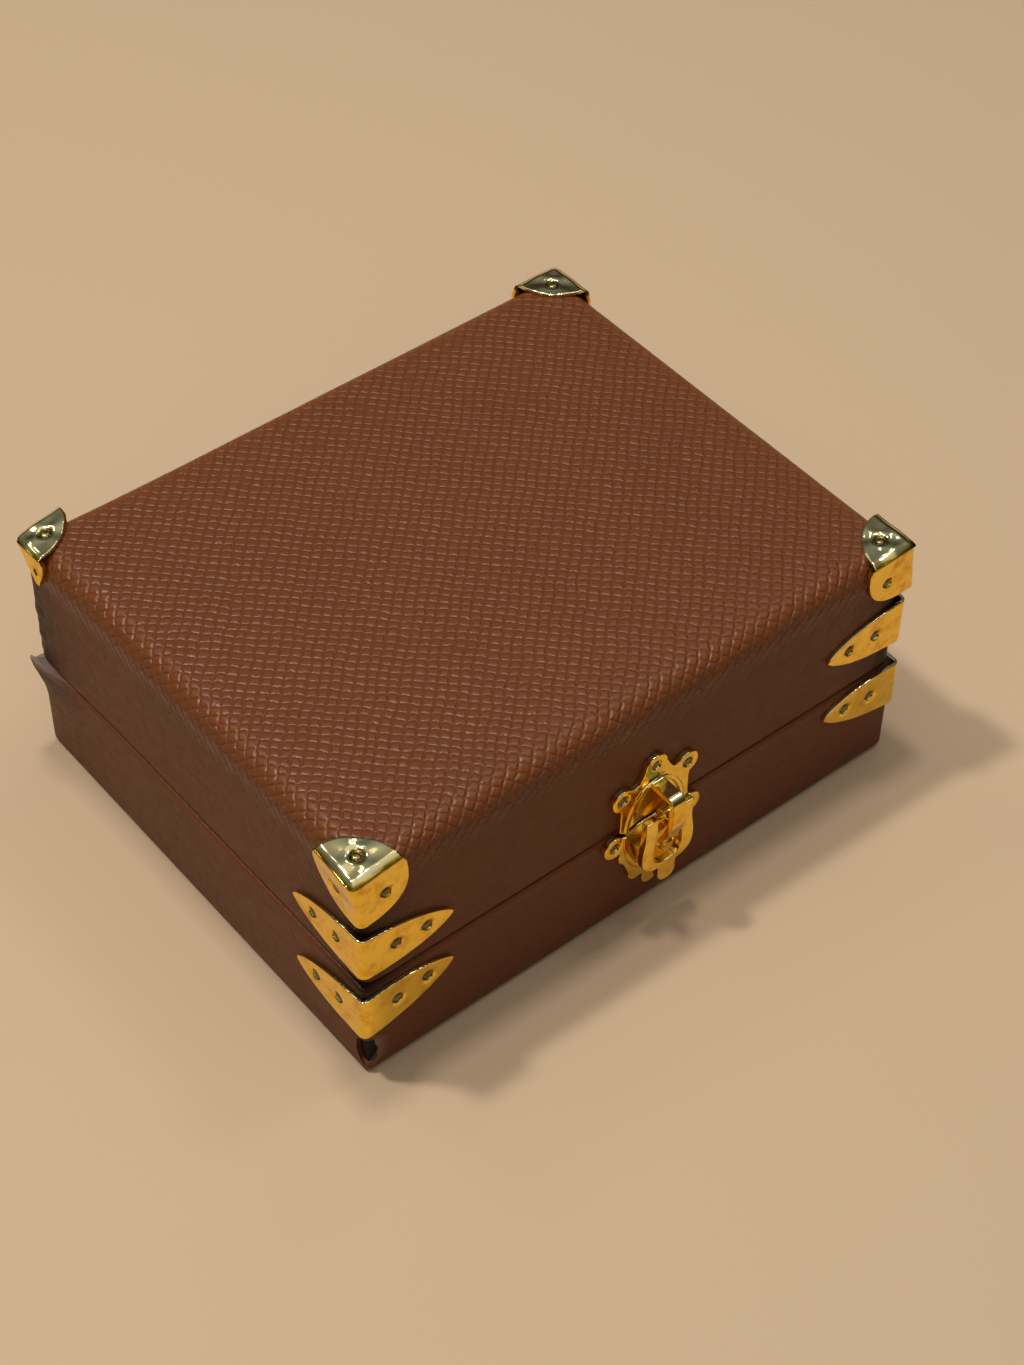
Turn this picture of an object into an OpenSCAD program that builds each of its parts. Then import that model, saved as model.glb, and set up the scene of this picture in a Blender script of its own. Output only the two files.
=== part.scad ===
// Small leather-covered jewellery case: a base and a hinged lid of board, wrapped in
// grained leather, with gilt corner caps, corner straps, a ring latch and two hinges.
// Millimetres. +X is to the right seen from the front, -Y is the front, +Z is up.
// The origin is the middle of the underside.

/* [Case] */
// Width of the base over its leather
case_w = 101; // [96:1:130]
// Depth of the base over its leather
case_d = 82; // [78:1:110]
// Height of the lid's leather above the surface that the case stands on
case_h = 43.5; // [41:0.1:52]
// Height of the seam between base and lid
seam_z = 19.1; // [18.5:0.1:21]
// Gap between the two rims at the seam
seam_gap = 0.3; // [0.2:0.05:0.5]
// How far each side of the lid stands in from the base
lid_inset = 0.3; // [0.1:0.05:0.5]
// Radius of the lid's upright and top edges
lid_round = 2.8; // [2.4:0.1:3.8]
// Radius of the base's upright edges
base_round = 1; // [0.6:0.1:1.6]

/* [Layers] */
// Thickness of the leather
leather_t = 0.9; // [0.7:0.05:1.1]
// Thickness of the boards that make both boxes
board_t = 3; // [2.6:0.1:3.6]
// Thickness of the foam between the lid's top board and its leather
foam_t = 1; // [0.6:0.1:1.4]
// Thickness of the fabric-covered linings
lining_t = 0.8; // [0.6:0.05:1]
// Thickness of the felt under the base
felt_t = 0.5; // [0.4:0.05:0.8]
// How far the felt stands in from the base's edges
felt_inset = 3; // [2:0.5:6]
// Width of the leather hem turned under the base
hem_w = 12; // [8:1:16]
// How far the linings stop short of the rims
lining_setback = 0.6; // [0.4:0.1:1]

/* [Inside] */
// Width of the right-hand compartments
bay_w = 39; // [30:1:44]
// Thickness of the compartment dividers
divider_t = 1.6; // [1.2:0.1:2]
// Height of the compartment dividers
divider_h = 8.6; // [6:0.1:9]
// Number of ring rolls in the left-hand compartment
roll_count = 5; // [3:1:6]
// Height of the ring rolls
roll_h = 7.4; // [7:0.1:7.6]
// Radius of the ring rolls' upper edges
roll_round = 3.4; // [2:0.1:3.5]
// Gap around each ring roll
roll_gap = 0.3; // [0.2:0.05:0.5]
// Thickness of the pad in the lid
pad_t = 3; // [2:0.1:4]
// Gap around the pad in the lid
pad_gap = 0.6; // [0.3:0.1:1.5]

/* [Corner caps] */
// Thickness of the cap metal
cap_t = 0.7; // [0.5:0.05:0.9]
// Reach of a cap along the top edges
cap_reach = 8.2; // [7.6:0.1:9.6]
// Width of a cap's side faces at their widest
cap_side = 9.05; // [8.6:0.05:10.4]
// How far below the top a side face is widest
cap_lead = 2.3; // [1.5:0.1:3]
// Reach of a cap down the upright edge
cap_drop = 10.7; // [9:0.1:12]
// Radius of a cap's folded edges
cap_fold = 1.2; // [0.8:0.05:1.4]
// Distance of the top pin from both upright faces
cap_pin_top = 3.8; // [3.5:0.1:4.4]
// Distance of a side pin from the upright edge
cap_pin_side = 5; // [3.5:0.1:5.5]
// Distance of a side pin below the top
cap_pin_drop = 6.1; // [4.5:0.1:6.3]

/* [Corner straps] */
// Thickness of the strap metal
strap_t = 0.7; // [0.5:0.05:0.9]
// Length of each leg of a strap
strap_leg = 15.9; // [14:0.1:19]
// Width of a strap at the corner
strap_w = 8.3; // [7.4:0.1:8.6]
// Radius of a strap's folded edge
strap_fold = 1.3; // [0.8:0.05:1.5]
// Distance of a strap's first pin from the corner
strap_pin_1 = 6.1; // [5:0.1:7]
// Distance of a strap's second pin from the corner
strap_pin_2 = 11.4; // [10:0.1:11.8]
// Gap between the seam and the left-hand lid strap
lid_strap_left_rise = 2.8; // [1:0.1:3.2]
// Gap between the right-hand lid strap and the cap above it
lid_strap_right_gap = 1.2; // [0.8:0.05:4]
// Gap between the seam and the left-hand base strap
base_strap_left_fall = 1.6; // [0.6:0.1:3]
// Gap between the seam and the right-hand base strap
base_strap_right_fall = 0.2; // [0.2:0.1:3]
// Slope of the front leg of the left-hand lid strap
lid_strap_left_slope = -0.05; // [-0.1:0.01:0.1]
// Slope of the front leg of the right-hand lid strap
lid_strap_right_slope = 0.02; // [-0.05:0.01:0.05]
// Slope of the front leg of the left-hand base strap
base_strap_left_slope = 0.15; // [0:0.01:0.16]
// Slope of the side leg of the left-hand base strap
base_strap_side_slope = -0.04; // [-0.06:0.01:0.06]
// Slope of the front leg of the right-hand base strap
base_strap_right_slope = 0.1; // [-0.06:0.01:0.12]

/* [Pins] */
// Radius of a pin's head
pin_head_r = 0.85; // [0.7:0.05:0.95]
// Height of a pin's head
pin_head_h = 0.34; // [0.25:0.01:0.45]
// Radius of a pin's shank
pin_shank_r = 0.4; // [0.3:0.05:0.45]
// Length of a pin's shank
pin_len = 2.9; // [2:0.1:3.2]
// Clearance around a pin in the metal
pin_gap = 0.06; // [0.04:0.01:0.1]

/* [Latch] */
// Offset of the latch to the right of the middle
latch_x = 1.35; // [-5:0.05:5]
// Thickness of the latch plates
plate_t = 1; // [0.9:0.05:1.2]
// Height of the embossed rim above the plates
emboss_h = 0.25; // [0.1:0.05:0.3]
// Depth of the oval dish in the plates
dish_depth = 0.5; // [0.3:0.05:0.6]
// Half-width of the oval dish
dish_rx = 5; // [4.6:0.1:5.2]
// Half-height of the oval dish
dish_rz = 8.4; // [7:0.1:8.6]
// Half-width of the upper plate between its side lobes' pins
lobe_x = 6.05; // [5.6:0.05:6.4]
// Height of the side lobes' pins above the seam
lobe_rise = 7.4; // [7:0.1:8]
// Height of the top lobe's pin above the seam
crest_rise = 10.9; // [10.7:0.1:11.6]
// Radius of the lobes round the pins
lobe_r = 2; // [1.8:0.05:2.1]
// Offset of the lower plate from the upper plate's middle
lower_shift = -0.4; // [-0.6:0.1:0.4]
// Half-width of the lower plate between its ears' pins
ear_x = 7.1; // [7:0.1:8]
// Depth of the ears' pins below the seam
ear_fall = 1.65; // [1.6:0.05:2.2]
// Depth of the lower plate below the seam
shield_fall = 14.1; // [13.4:0.1:14.4]
// Width of the hook's strap
hook_w = 2.4; // [2:0.1:2.8]
// Thickness of the hook's strap
hook_t = 1.1; // [0.9:0.05:1.2]
// How far the hook's face stands off the lid's leather
hook_reach = 6.3; // [6.2:0.05:6.6]
// Height of the hook's root above the seam
hook_rise = 7.6; // [7.4:0.1:8]
// Radius of the bend at the top of the hook
hook_bend = 1; // [0.8:0.05:1.6]
// Height above the seam at which the hook starts to curl in
curl_rise = 3.3; // [3:0.1:3.8]
// Radius of the curl
curl_bend = 4; // [3.5:0.1:4.5]
// Angle at which the curl ends, from straight up
curl_end = 110; // [104:1:116]
// Length of the straight end of the hook
tip_len = 5.5; // [5:0.1:6.2]
// Radius of the tongue at the hook's end
tongue_r = 1.5; // [1.3:0.05:1.8]

/* [Latch ring] */
// Height of the ring's pivot above the seam
pivot_rise = 3.2; // [3.1:0.05:3.4]
// How far the ring's pivot stands off the lid's leather
pivot_reach = 3.8; // [3.7:0.05:3.9]
// Radius of the ring's top bar, which is its pivot
pivot_r = 0.58; // [0.5:0.02:0.6]
// Running clearance round the pivot
pivot_gap = 0.05; // [0.02:0.01:0.08]
// Wall of the knuckle that holds the pivot
knuckle_wall = 0.65; // [0.5:0.05:0.7]
// Half-width of the ring at its top
ring_head = 4.4; // [4.3:0.05:4.7]
// Half-width of the ring at its widest
ring_belly = 4.9; // [4.7:0.05:5.3]
// Length of the ring from its pivot to its foot
ring_len = 10.7; // [10.2:0.1:11.2]
// Width of the ring's side bars
ring_bar = 2.2; // [1.8:0.05:2.25]
// Width of the ring's bar at the foot
ring_foot = 1.05; // [0.9:0.05:1.3]
// Thickness of the ring's bars
ring_t = 1.2; // [1.1:0.05:1.25]
// Radius of the tab under the ring
tab_r = 1.65; // [1.3:0.05:1.8]
// Length of the tab under the ring
tab_len = 3.4; // [2.6:0.1:3.6]
// Width of the catch nose on the lower plate
nose_w = 2.2; // [1.6:0.1:2.6]
// Height of the catch nose
nose_h = 2.6; // [2:0.1:3]
// Gap between the catch nose and the ring
nose_gap = 0.15; // [0.12:0.01:0.3]

/* [Hinges] */
// Distance between the two hinges' middles
hinge_spacing = 52; // [40:1:60]
// Width of a hinge
hinge_w = 15; // [12:0.5:18]
// Height of a hinge leaf
hinge_leaf_h = 7; // [6:0.1:8]
// Thickness of a hinge leaf
hinge_leaf_t = 0.6; // [0.5:0.05:0.8]
// Outer radius of a hinge knuckle
hinge_knuckle_r = 1.1; // [1:0.05:1.2]
// Radius of a hinge pin
hinge_pin_r = 0.55; // [0.45:0.05:0.6]
// Running clearance round a hinge pin
hinge_gap = 0.05; // [0.02:0.01:0.08]
// Length of the middle knuckle, which belongs to the lid
hinge_middle = 5; // [4:0.1:6]
// Gap between the knuckles' ends
hinge_end_gap = 0.1; // [0.05:0.01:0.2]
// Distance of the hinge axis behind the base's leather
hinge_setback = 1.3; // [1.25:0.01:1.4]
// Distance of a leaf's pins from the hinge's middle
hinge_nail_x = 4.6; // [3.5:0.1:5]

/* [Hidden] */

LEATHER = [0.36, 0.19, 0.12];
GILT = [0.86, 0.62, 0.22];
BOARD = [0.66, 0.55, 0.4];
LINING = [0.6, 0.5, 0.38];
FELT = [0.12, 0.1, 0.1];
FOAM = [0.85, 0.82, 0.7];

// Length by which cuts run past the face that they open
past = 1;

// Rims and floors, as heights
base_rim = seam_z - seam_gap / 2;
lid_rim = seam_z + seam_gap / 2;
hem_z = felt_t;
floor_z = hem_z + leather_t;
floor_top = floor_z + board_t;
base_wall_top = base_rim - leather_t;
lid_wall_z = lid_rim + leather_t;
foam_top = case_h - leather_t;
top_board_top = foam_top - foam_t;
top_board_z = top_board_top - board_t;

// Outer sizes of the lid, and the sizes inside the leather and inside the boards
lid_w = case_w - 2 * lid_inset;
lid_d = case_d - 2 * lid_inset;
core_w = case_w - 2 * leather_t;
core_d = case_d - 2 * leather_t;
lid_core_w = lid_w - 2 * leather_t;
lid_core_d = lid_d - 2 * leather_t;
inner_w = core_w - 2 * board_t;
inner_d = core_d - 2 * board_t;
lid_inner_w = lid_core_w - 2 * board_t;
lid_inner_d = lid_core_d - 2 * board_t;
core_round = lid_round - leather_t;

// The lined tray in the base
tray_w = inner_w - 2 * lining_t;
tray_d = inner_d - 2 * lining_t;
tray_z = floor_top + lining_t;
bay_x = tray_w / 2 - bay_w;
roll_bay_w = tray_w - bay_w - divider_t;
roll_pitch = tray_d / roll_count;

// Faces that the metal lies on, as distances from the middle
base_front = case_d / 2;
lid_front = lid_d / 2;
pin_cup_r = pin_head_r + pin_gap;
pin_bore_r = pin_shank_r + pin_gap;

// Straps, as heights of their middles at the corner
lid_strap_left_z = lid_rim + lid_strap_left_rise + strap_w / 2;
lid_strap_right_z = case_h + cap_t - cap_drop - lid_strap_right_gap - strap_w / 2;
base_strap_left_z = base_rim - base_strap_left_fall - strap_w / 2;
base_strap_right_z = base_rim - base_strap_right_fall - strap_w / 2;

// Latch places: distances off the lid's leather, and heights
plate_gap = 0.05;
dish_z = seam_z - 0.7;
rim_w = 0.7;
ear_z = seam_z - ear_fall;
shield_z = seam_z - shield_fall;
pivot_z = seam_z + pivot_rise;
hook_root_z = seam_z + hook_rise;
hook_line = hook_reach - hook_t / 2;
curl_z = seam_z + curl_rise;
bend_mid = [hook_line - hook_bend, hook_root_z - hook_bend];
curl_mid = [hook_line - curl_bend, curl_z];
tip_mid = along(along(curl_mid, curl_bend, curl_end), tip_len, curl_end + 90);
knuckle_r = pivot_r + pivot_gap + knuckle_wall;

// The ring, as heights above its pivot
ring_top = 0.7;
ring_waist_z = -2.2;
ring_belly_z = -6.8;
nose_reach = pivot_reach - ring_t / 2 - nose_gap - lid_inset;
nose_over_foot = 0.2;
nose_top = pivot_z - ring_len + nose_over_foot;

// Hinge places
hinge_y = case_d / 2 + hinge_setback;
hinge_leaf_gap = 0.2;
hinge_leaf_off = hinge_knuckle_r + hinge_leaf_gap;
hinge_side = (hinge_w - hinge_middle) / 2 - hinge_end_gap;
hinge_nail_z = hinge_leaf_off + hinge_leaf_h / 2;

// Facets of round shapes, and of the pins
$fn = 48;
pin_fn = 24;

// ---------- shared shapes ----------

// Rectangle on the middle with rounded corners
module round_rect(w, d, r) {
    square([w - 2 * r, d], center = true);
    square([w, d - 2 * r], center = true);
    for (x = [-1, 1], y = [-1, 1])
        translate([x * (w / 2 - r), y * (d / 2 - r)]) circle(r);
}

// Upright profile with rounded upper corners, from height z0 to z1
module arch(w, z0, z1, r) {
    translate([-w / 2, z0]) square([w, z1 - r - z0]);
    translate([-w / 2 + r, z0]) square([w - 2 * r, z1 - z0]);
    for (x = [-1, 1])
        translate([x * (w / 2 - r), z1 - r]) circle(r);
}

// Box with rounded upright and upper edges
module soft_box(w, d, z0, z1, r) {
    intersection() {
        translate([0, 0, z0]) linear_extrude(z1 - z0) round_rect(w, d, r);
        rotate([90, 0, 0]) linear_extrude(d + 2 * past, center = true) arch(w, z0, z1, r);
        rotate([90, 0, 90]) linear_extrude(w + 2 * past, center = true) arch(d, z0, z1, r);
    }
}

// Plain box on the middle in X and Y, from height z0 to z1
module slab(w, d, z0, z1) {
    translate([-w / 2, -d / 2, z0]) cube([w, d, z1 - z0]);
}

// Everything that the lid's leather encloses
module lid_core() {
    soft_box(lid_core_w, lid_core_d, lid_wall_z, foam_top, core_round);
}

// Turn a shape that points up so that it points out of one side of the case
module face_front(x, z, off) {
    translate([x, -off, z]) rotate([90, 0, 0]) children();
}
module face_back(x, z, off) {
    translate([x, off, z]) rotate([-90, 0, 0]) children();
}
module face_side(side, y, z, off) {
    translate([side * off, y, z]) rotate([0, side * 90, 0]) children();
}

// A pin with a low domed head, seated at z = 0 with its shank below
module pin() {
    shoulder = [pin_head_r * 0.6, pin_head_h * 0.9];
    rotate_extrude($fn = pin_fn)
        polygon([
            [0, -pin_len], [pin_shank_r, -pin_len + pin_shank_r], [pin_shank_r, 0],
            [pin_head_r, 0], [pin_head_r, pin_head_h / 2], shoulder, [0, pin_head_h]
        ]);
}

// The cup and bore that a pin sits in, cut into metal of thickness t
module pin_cut(t) {
    translate([0, 0, -t]) cylinder(h = 2 * t, r = pin_bore_r, $fn = pin_fn);
    cylinder(h = t, r = pin_cup_r, $fn = pin_fn);
}

// Depth of a pin's seat below the face of metal of thickness t
function seat(t) = t - min(pin_head_h, t / 2);

// ---------- base ----------

module base_floor_board() {
    color(BOARD) slab(core_w, core_d, floor_z, floor_top);
}

// Board across the front or back of the base
module base_long_board(side) {
    color(BOARD)
        translate([0, side * (core_d - board_t) / 2, 0])
            slab(core_w, board_t, floor_top, base_wall_top);
}

// Board down the left or right of the base
module base_end_board(side) {
    color(BOARD)
        translate([side * (core_w - board_t) / 2, 0, 0])
            slab(board_t, inner_d, floor_top, base_wall_top);
}

module base_leather() {
    color(LEATHER)
        difference() {
            translate([0, 0, hem_z])
                linear_extrude(base_rim - hem_z) round_rect(case_w, case_d, base_round);
            slab(core_w, core_d, floor_z, base_wall_top);
            slab(inner_w, inner_d, floor_top, base_rim + past);
            slab(case_w - 2 * hem_w, case_d - 2 * hem_w, hem_z - past, floor_top);
        }
}

module base_felt() {
    color(FELT) slab(case_w - 2 * felt_inset, case_d - 2 * felt_inset, 0, felt_t);
}

module base_lining() {
    color(LINING)
        difference() {
            slab(inner_w, inner_d, floor_top, base_rim - lining_setback);
            slab(tray_w, tray_d, tray_z, base_rim + past);
        }
}

module long_divider() {
    color(LINING)
        translate([bay_x - divider_t, -tray_d / 2, tray_z]) cube([divider_t, tray_d, divider_h]);
}

module cross_divider() {
    color(LINING)
        translate([bay_x, -divider_t / 2, tray_z]) cube([bay_w, divider_t, divider_h]);
}

module ring_rolls() {
    color(LINING)
        for (i = [0:roll_count - 1])
            translate([
                -tray_w / 2 + roll_gap,
                -tray_d / 2 + roll_pitch * (i + 0.5),
                tray_z
            ])
                rotate([90, 0, 90])
                    linear_extrude(roll_bay_w - 2 * roll_gap)
                        arch(roll_pitch - 2 * roll_gap, 0, roll_h, roll_round);
}

// ---------- lid ----------

module lid_top_board() {
    color(BOARD)
        intersection() {
            lid_core();
            slab(case_w, case_d, top_board_z, top_board_top);
        }
}

// Board across the front or back of the lid
module lid_long_board(side) {
    color(BOARD)
        intersection() {
            lid_core();
            translate([0, side * (lid_core_d - board_t) / 2, 0])
                slab(lid_core_w, board_t, lid_wall_z, top_board_z);
        }
}

// Board down the left or right of the lid
module lid_end_board(side) {
    color(BOARD)
        translate([side * (lid_core_w - board_t) / 2, 0, 0])
            slab(board_t, lid_inner_d, lid_wall_z, top_board_z);
}

module lid_foam() {
    color(FOAM)
        intersection() {
            lid_core();
            slab(case_w, case_d, top_board_top, foam_top);
        }
}

module lid_leather() {
    color(LEATHER)
        difference() {
            soft_box(lid_w, lid_d, lid_rim, case_h, lid_round);
            lid_core();
            slab(lid_inner_w, lid_inner_d, lid_rim - past, lid_wall_z + past);
        }
}

module lid_lining() {
    color(LINING)
        difference() {
            slab(lid_inner_w, lid_inner_d, lid_rim + lining_setback, top_board_z);
            slab(
                lid_inner_w - 2 * lining_t, lid_inner_d - 2 * lining_t,
                lid_rim - past, top_board_z - lining_t
            );
        }
}

module lid_pad() {
    margin = lining_t + pad_gap;
    color(LINING)
        slab(
            lid_inner_w - 2 * margin, lid_inner_d - 2 * margin,
            top_board_z - lining_t - pad_t, top_board_z - lining_t
        );
}

// ---------- corner caps ----------

// Outline of a cap's top, a quarter disc with its corner at the origin
module cap_top_face() {
    polygon(concat(
        [[0, 0]],
        [for (a = [0:7.5:90]) [cap_reach * cos(a), cap_reach * sin(a)]]
    ));
}

// Outline of a cap's side, which widens below the top and then rounds in to its foot
module cap_side_face() {
    fullness = 0.77;
    fall = cap_drop - cap_lead;
    polygon(concat(
        [[0, 0], [cap_reach, 0]],
        [
            for (a = [0:7.5:90])
                [cap_side * pow(cos(a), fullness), -cap_lead - fall * pow(sin(a), fullness)]
        ]
    ));
}

// Cap for the front left corner, with its outer corner at the origin
module cap_shell() {
    translate([0, 0, -cap_t]) linear_extrude(cap_t) cap_top_face();
    translate([0, cap_t, 0]) rotate([90, 0, 0]) linear_extrude(cap_t) cap_side_face();
    rotate([90, 0, 90]) linear_extrude(cap_t) cap_side_face();
}

// The three pin places of the front left cap, moved by side and end to any corner
module cap_pin_places(side, end) {
    x = lid_w / 2 + cap_t - cap_pin_side;
    y = lid_d / 2 + cap_t - cap_pin_side;
    z = case_h + cap_t - cap_pin_drop;
    translate([
        side * (lid_w / 2 + cap_t - cap_pin_top),
        end * (lid_d / 2 + cap_t - cap_pin_top),
        case_h + seat(cap_t)
    ])
        children();
    face_side(side, end * y, z, lid_w / 2 + seat(cap_t)) children();
    if (end < 0) face_front(side * x, z, lid_d / 2 + seat(cap_t)) children();
    if (end > 0) face_back(side * x, z, lid_d / 2 + seat(cap_t)) children();
}

// Cap on the corner at side (-1 left, 1 right) and end (-1 front, 1 back)
module corner_cap(side, end) {
    color(GILT)
        difference() {
            intersection() {
                translate([side * (lid_w / 2 + cap_t), end * (lid_d / 2 + cap_t), case_h + cap_t])
                    mirror([side > 0 ? 1 : 0, 0, 0])
                        mirror([0, end > 0 ? 1 : 0, 0])
                            cap_shell();
                soft_box(lid_w + 2 * cap_t, lid_d + 2 * cap_t, seam_z, case_h + cap_t, cap_fold);
            }
            cap_pin_places(side, end) pin_cut(cap_t);
        }
}

module cap_pins() {
    color(GILT)
        for (side = [-1, 1], end = [-1, 1])
            cap_pin_places(side, end) pin();
}

// ---------- corner straps ----------

// Half-width of a strap at a distance s from its middle; the powers give its full sides
// and its blunt points
leg_fullness = 2.4;
leg_bluntness = 0.75;
function leg_half(s) =
    strap_w / 2 * pow(1 - pow(abs(s) / strap_leg, leg_fullness), leg_bluntness);

// Outline of one leg, from the corner at x = 0 to its blunt point, rising by slope along
// its length
module strap_leg_outline(slope) {
    steps = 16;
    stop = 0.995;
    s = [for (i = [0:steps]) strap_leg * sin(asin(stop) * i / steps)];
    polygon(concat(
        [for (i = [0:steps]) [s[i], leg_half(s[i]) + s[i] * slope]],
        [for (i = [steps:-1:0]) [s[i], -leg_half(s[i]) + s[i] * slope]]
    ));
}

// The four pin places of a strap whose middle is at height z, on faces w wide and d deep
module strap_pin_places(side, w, d, z, slope, side_slope) {
    for (s = [strap_pin_1, strap_pin_2]) {
        face_front(side * (w / 2 + strap_t - s), z + s * slope, d / 2 + seat(strap_t))
            children();
        face_side(side, -d / 2 - strap_t + s, z + s * side_slope, w / 2 + seat(strap_t))
            children();
    }
}

// Strap bent round a front corner, its middle at height z
module corner_strap(side, w, d, z, slope, side_slope) {
    color(GILT)
        difference() {
            intersection() {
                translate([side * (w / 2 + strap_t), -d / 2 - strap_t, z])
                    mirror([side > 0 ? 1 : 0, 0, 0]) {
                        translate([0, strap_t, 0]) rotate([90, 0, 0])
                            linear_extrude(strap_t) strap_leg_outline(slope);
                        rotate([90, 0, 90])
                            linear_extrude(strap_t) strap_leg_outline(side_slope);
                    }
                linear_extrude(case_h)
                    round_rect(w + 2 * strap_t, d + 2 * strap_t, strap_fold);
            }
            strap_pin_places(side, w, d, z, slope, side_slope) pin_cut(strap_t);
        }
}

module lid_strap_left() {
    corner_strap(-1, lid_w, lid_d, lid_strap_left_z, lid_strap_left_slope, 0);
}

module lid_strap_right() {
    corner_strap(1, lid_w, lid_d, lid_strap_right_z, lid_strap_right_slope, 0);
}

module base_strap_left() {
    corner_strap(
        -1, case_w, case_d, base_strap_left_z, base_strap_left_slope, base_strap_side_slope
    );
}

module base_strap_right() {
    corner_strap(1, case_w, case_d, base_strap_right_z, base_strap_right_slope, 0);
}

module lid_strap_pins() {
    color(GILT) {
        strap_pin_places(-1, lid_w, lid_d, lid_strap_left_z, lid_strap_left_slope, 0) pin();
        strap_pin_places(1, lid_w, lid_d, lid_strap_right_z, lid_strap_right_slope, 0) pin();
    }
}

module base_strap_pins() {
    color(GILT) {
        strap_pin_places(
            -1, case_w, case_d, base_strap_left_z, base_strap_left_slope, base_strap_side_slope
        )
            pin();
        strap_pin_places(1, case_w, case_d, base_strap_right_z, base_strap_right_slope, 0)
            pin();
    }
}

// ---------- latch ----------

// Oval on the latch's middle line
module oval(rx, rz) {
    translate([0, dish_z])
        polygon([for (a = [0:10:350]) [rx * cos(a), rz * sin(a)]]);
}

// Raise the oval's rim on a plate outline and sink the dish inside it
module embossed(x, off) {
    face_front(x, 0, off)
        difference() {
            union() {
                linear_extrude(plate_t) children();
                linear_extrude(plate_t + emboss_h)
                    intersection() {
                        children();
                        oval(dish_rx + rim_w, dish_rz + rim_w);
                    }
            }
            translate([0, 0, plate_t - dish_depth])
                linear_extrude(dish_depth + emboss_h + past) oval(dish_rx, dish_rz);
        }
}

// Outline of the upper plate: three lobes over a body with nearly straight sides
module upper_outline() {
    half = 6.5;
    waist = half - 0.1;
    notch_x = 3.1;
    chamfer = 0.6;
    foot = lid_rim + plate_gap;
    side_z = seam_z + lobe_rise;
    waist_z = side_z - 2.6;
    notch_z = side_z + 1.4;
    neck_x = lobe_x + lobe_r / 2;
    crest_z = seam_z + crest_rise;
    polygon([
        [-half, foot + chamfer], [chamfer - half, foot],
        [half - chamfer, foot], [half, foot + chamfer],
        [waist, waist_z], [neck_x, side_z], [notch_x, notch_z],
        [lobe_r, crest_z], [-lobe_r, crest_z],
        [-notch_x, notch_z], [-neck_x, side_z], [-waist, waist_z]
    ]);
    for (x = [-lobe_x, lobe_x])
        translate([x, side_z]) circle(lobe_r);
    translate([0, crest_z]) circle(lobe_r);
}

// Outline of the lower plate: two ears over a shield with five scallops
module lower_outline() {
    half = 6.2;
    waist = half - 0.2;
    flank_x = 4.1;
    flank_z = shield_z + 4.6;
    head = base_rim - plate_gap;
    shoulder_z = ear_z - 1.4;
    // Each scallop's distance from the middle, height above the shield's foot and radius
    scallops = [[0, 1.5, 1.5], [2.7, 4.2, 1.5], [4.7, 9.2, 1.6]];
    waist_z = shield_z + scallops[2][1];
    polygon([
        [-half, head], [half, head], [half, shoulder_z], [waist, waist_z],
        [flank_x, flank_z], [0, shield_z + scallops[0][1]], [-flank_x, flank_z],
        [-waist, waist_z], [-half, shoulder_z]
    ]);
    for (side = [-1, 1]) {
        translate([side * ear_x, ear_z]) circle(lobe_r);
        for (s = scallops)
            translate([side * s[0], shield_z + s[1]]) circle(s[2]);
    }
}

// Point at a distance r from a point c, at an angle a from straight up
function along(c, r, a) = [c[0] + r * sin(a), c[1] + r * cos(a)];

// Side profile of the hook's strap: out of the plate, over, down and curled in
module strip_profile() {
    half = hook_t / 2;
    step = 6;
    root = plate_t - 0.1;
    polygon(concat(
        [[root, hook_root_z + half]],
        [for (a = [0:step:90]) along(bend_mid, hook_bend + half, a)],
        [for (a = [90:step:curl_end - 1]) along(curl_mid, curl_bend + half, a)],
        [along(tip_mid, half, curl_end), along(tip_mid, -half, curl_end)],
        [for (a = [curl_end:-step:91]) along(curl_mid, curl_bend - half, a)],
        [along(curl_mid, curl_bend - half, 90)],
        [for (a = [90:-step:0]) along(bend_mid, hook_bend - half, a)],
        [[root, hook_root_z - half]]
    ));
}

// Side profile of the knuckle that holds the ring behind the strap
module knuckle_profile() {
    neck = 1.2;
    difference() {
        union() {
            translate([pivot_reach, pivot_z]) circle(knuckle_r);
            translate([pivot_reach, pivot_z - neck / 2]) square([hook_line - pivot_reach, neck]);
        }
        translate([pivot_reach, pivot_z]) circle(pivot_r + pivot_gap);
    }
}

// Place a side profile, drawn as distance off the lid's leather and height, on the latch
module on_latch_side(w) {
    translate([latch_x + w / 2, -lid_front, 0])
        rotate([90, 0, -90]) linear_extrude(w) children();
}

// The wide rounded end of the hook
module tongue() {
    intersection() {
        on_latch_side(2 * tongue_r) strip_profile();
        face_front(latch_x, tip_mid[1] + tongue_r, lid_front)
            linear_extrude(hook_reach) circle(tongue_r);
    }
}

// The hook: its strap stops at the middle of the tongue
module hook() {
    on_latch_side(hook_w) {
        difference() {
            strip_profile();
            translate([0, tip_mid[1] - past]) square([hook_reach, tongue_r + past]);
        }
        knuckle_profile();
    }
    tongue();
}

module upper_pin_places() {
    for (x = [-lobe_x, lobe_x])
        face_front(latch_x + x, seam_z + lobe_rise, lid_front + seat(plate_t)) children();
    face_front(latch_x, seam_z + crest_rise, lid_front + seat(plate_t)) children();
}

module lower_pin_places() {
    for (x = [-ear_x, ear_x])
        face_front(latch_x + lower_shift + x, ear_z, base_front + seat(plate_t)) children();
}

module latch_upper_plate() {
    color(GILT) {
        difference() {
            embossed(latch_x, lid_front) upper_outline();
            upper_pin_places() pin_cut(plate_t);
        }
        hook();
    }
}

module latch_upper_pins() {
    color(GILT) upper_pin_places() pin();
}

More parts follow.
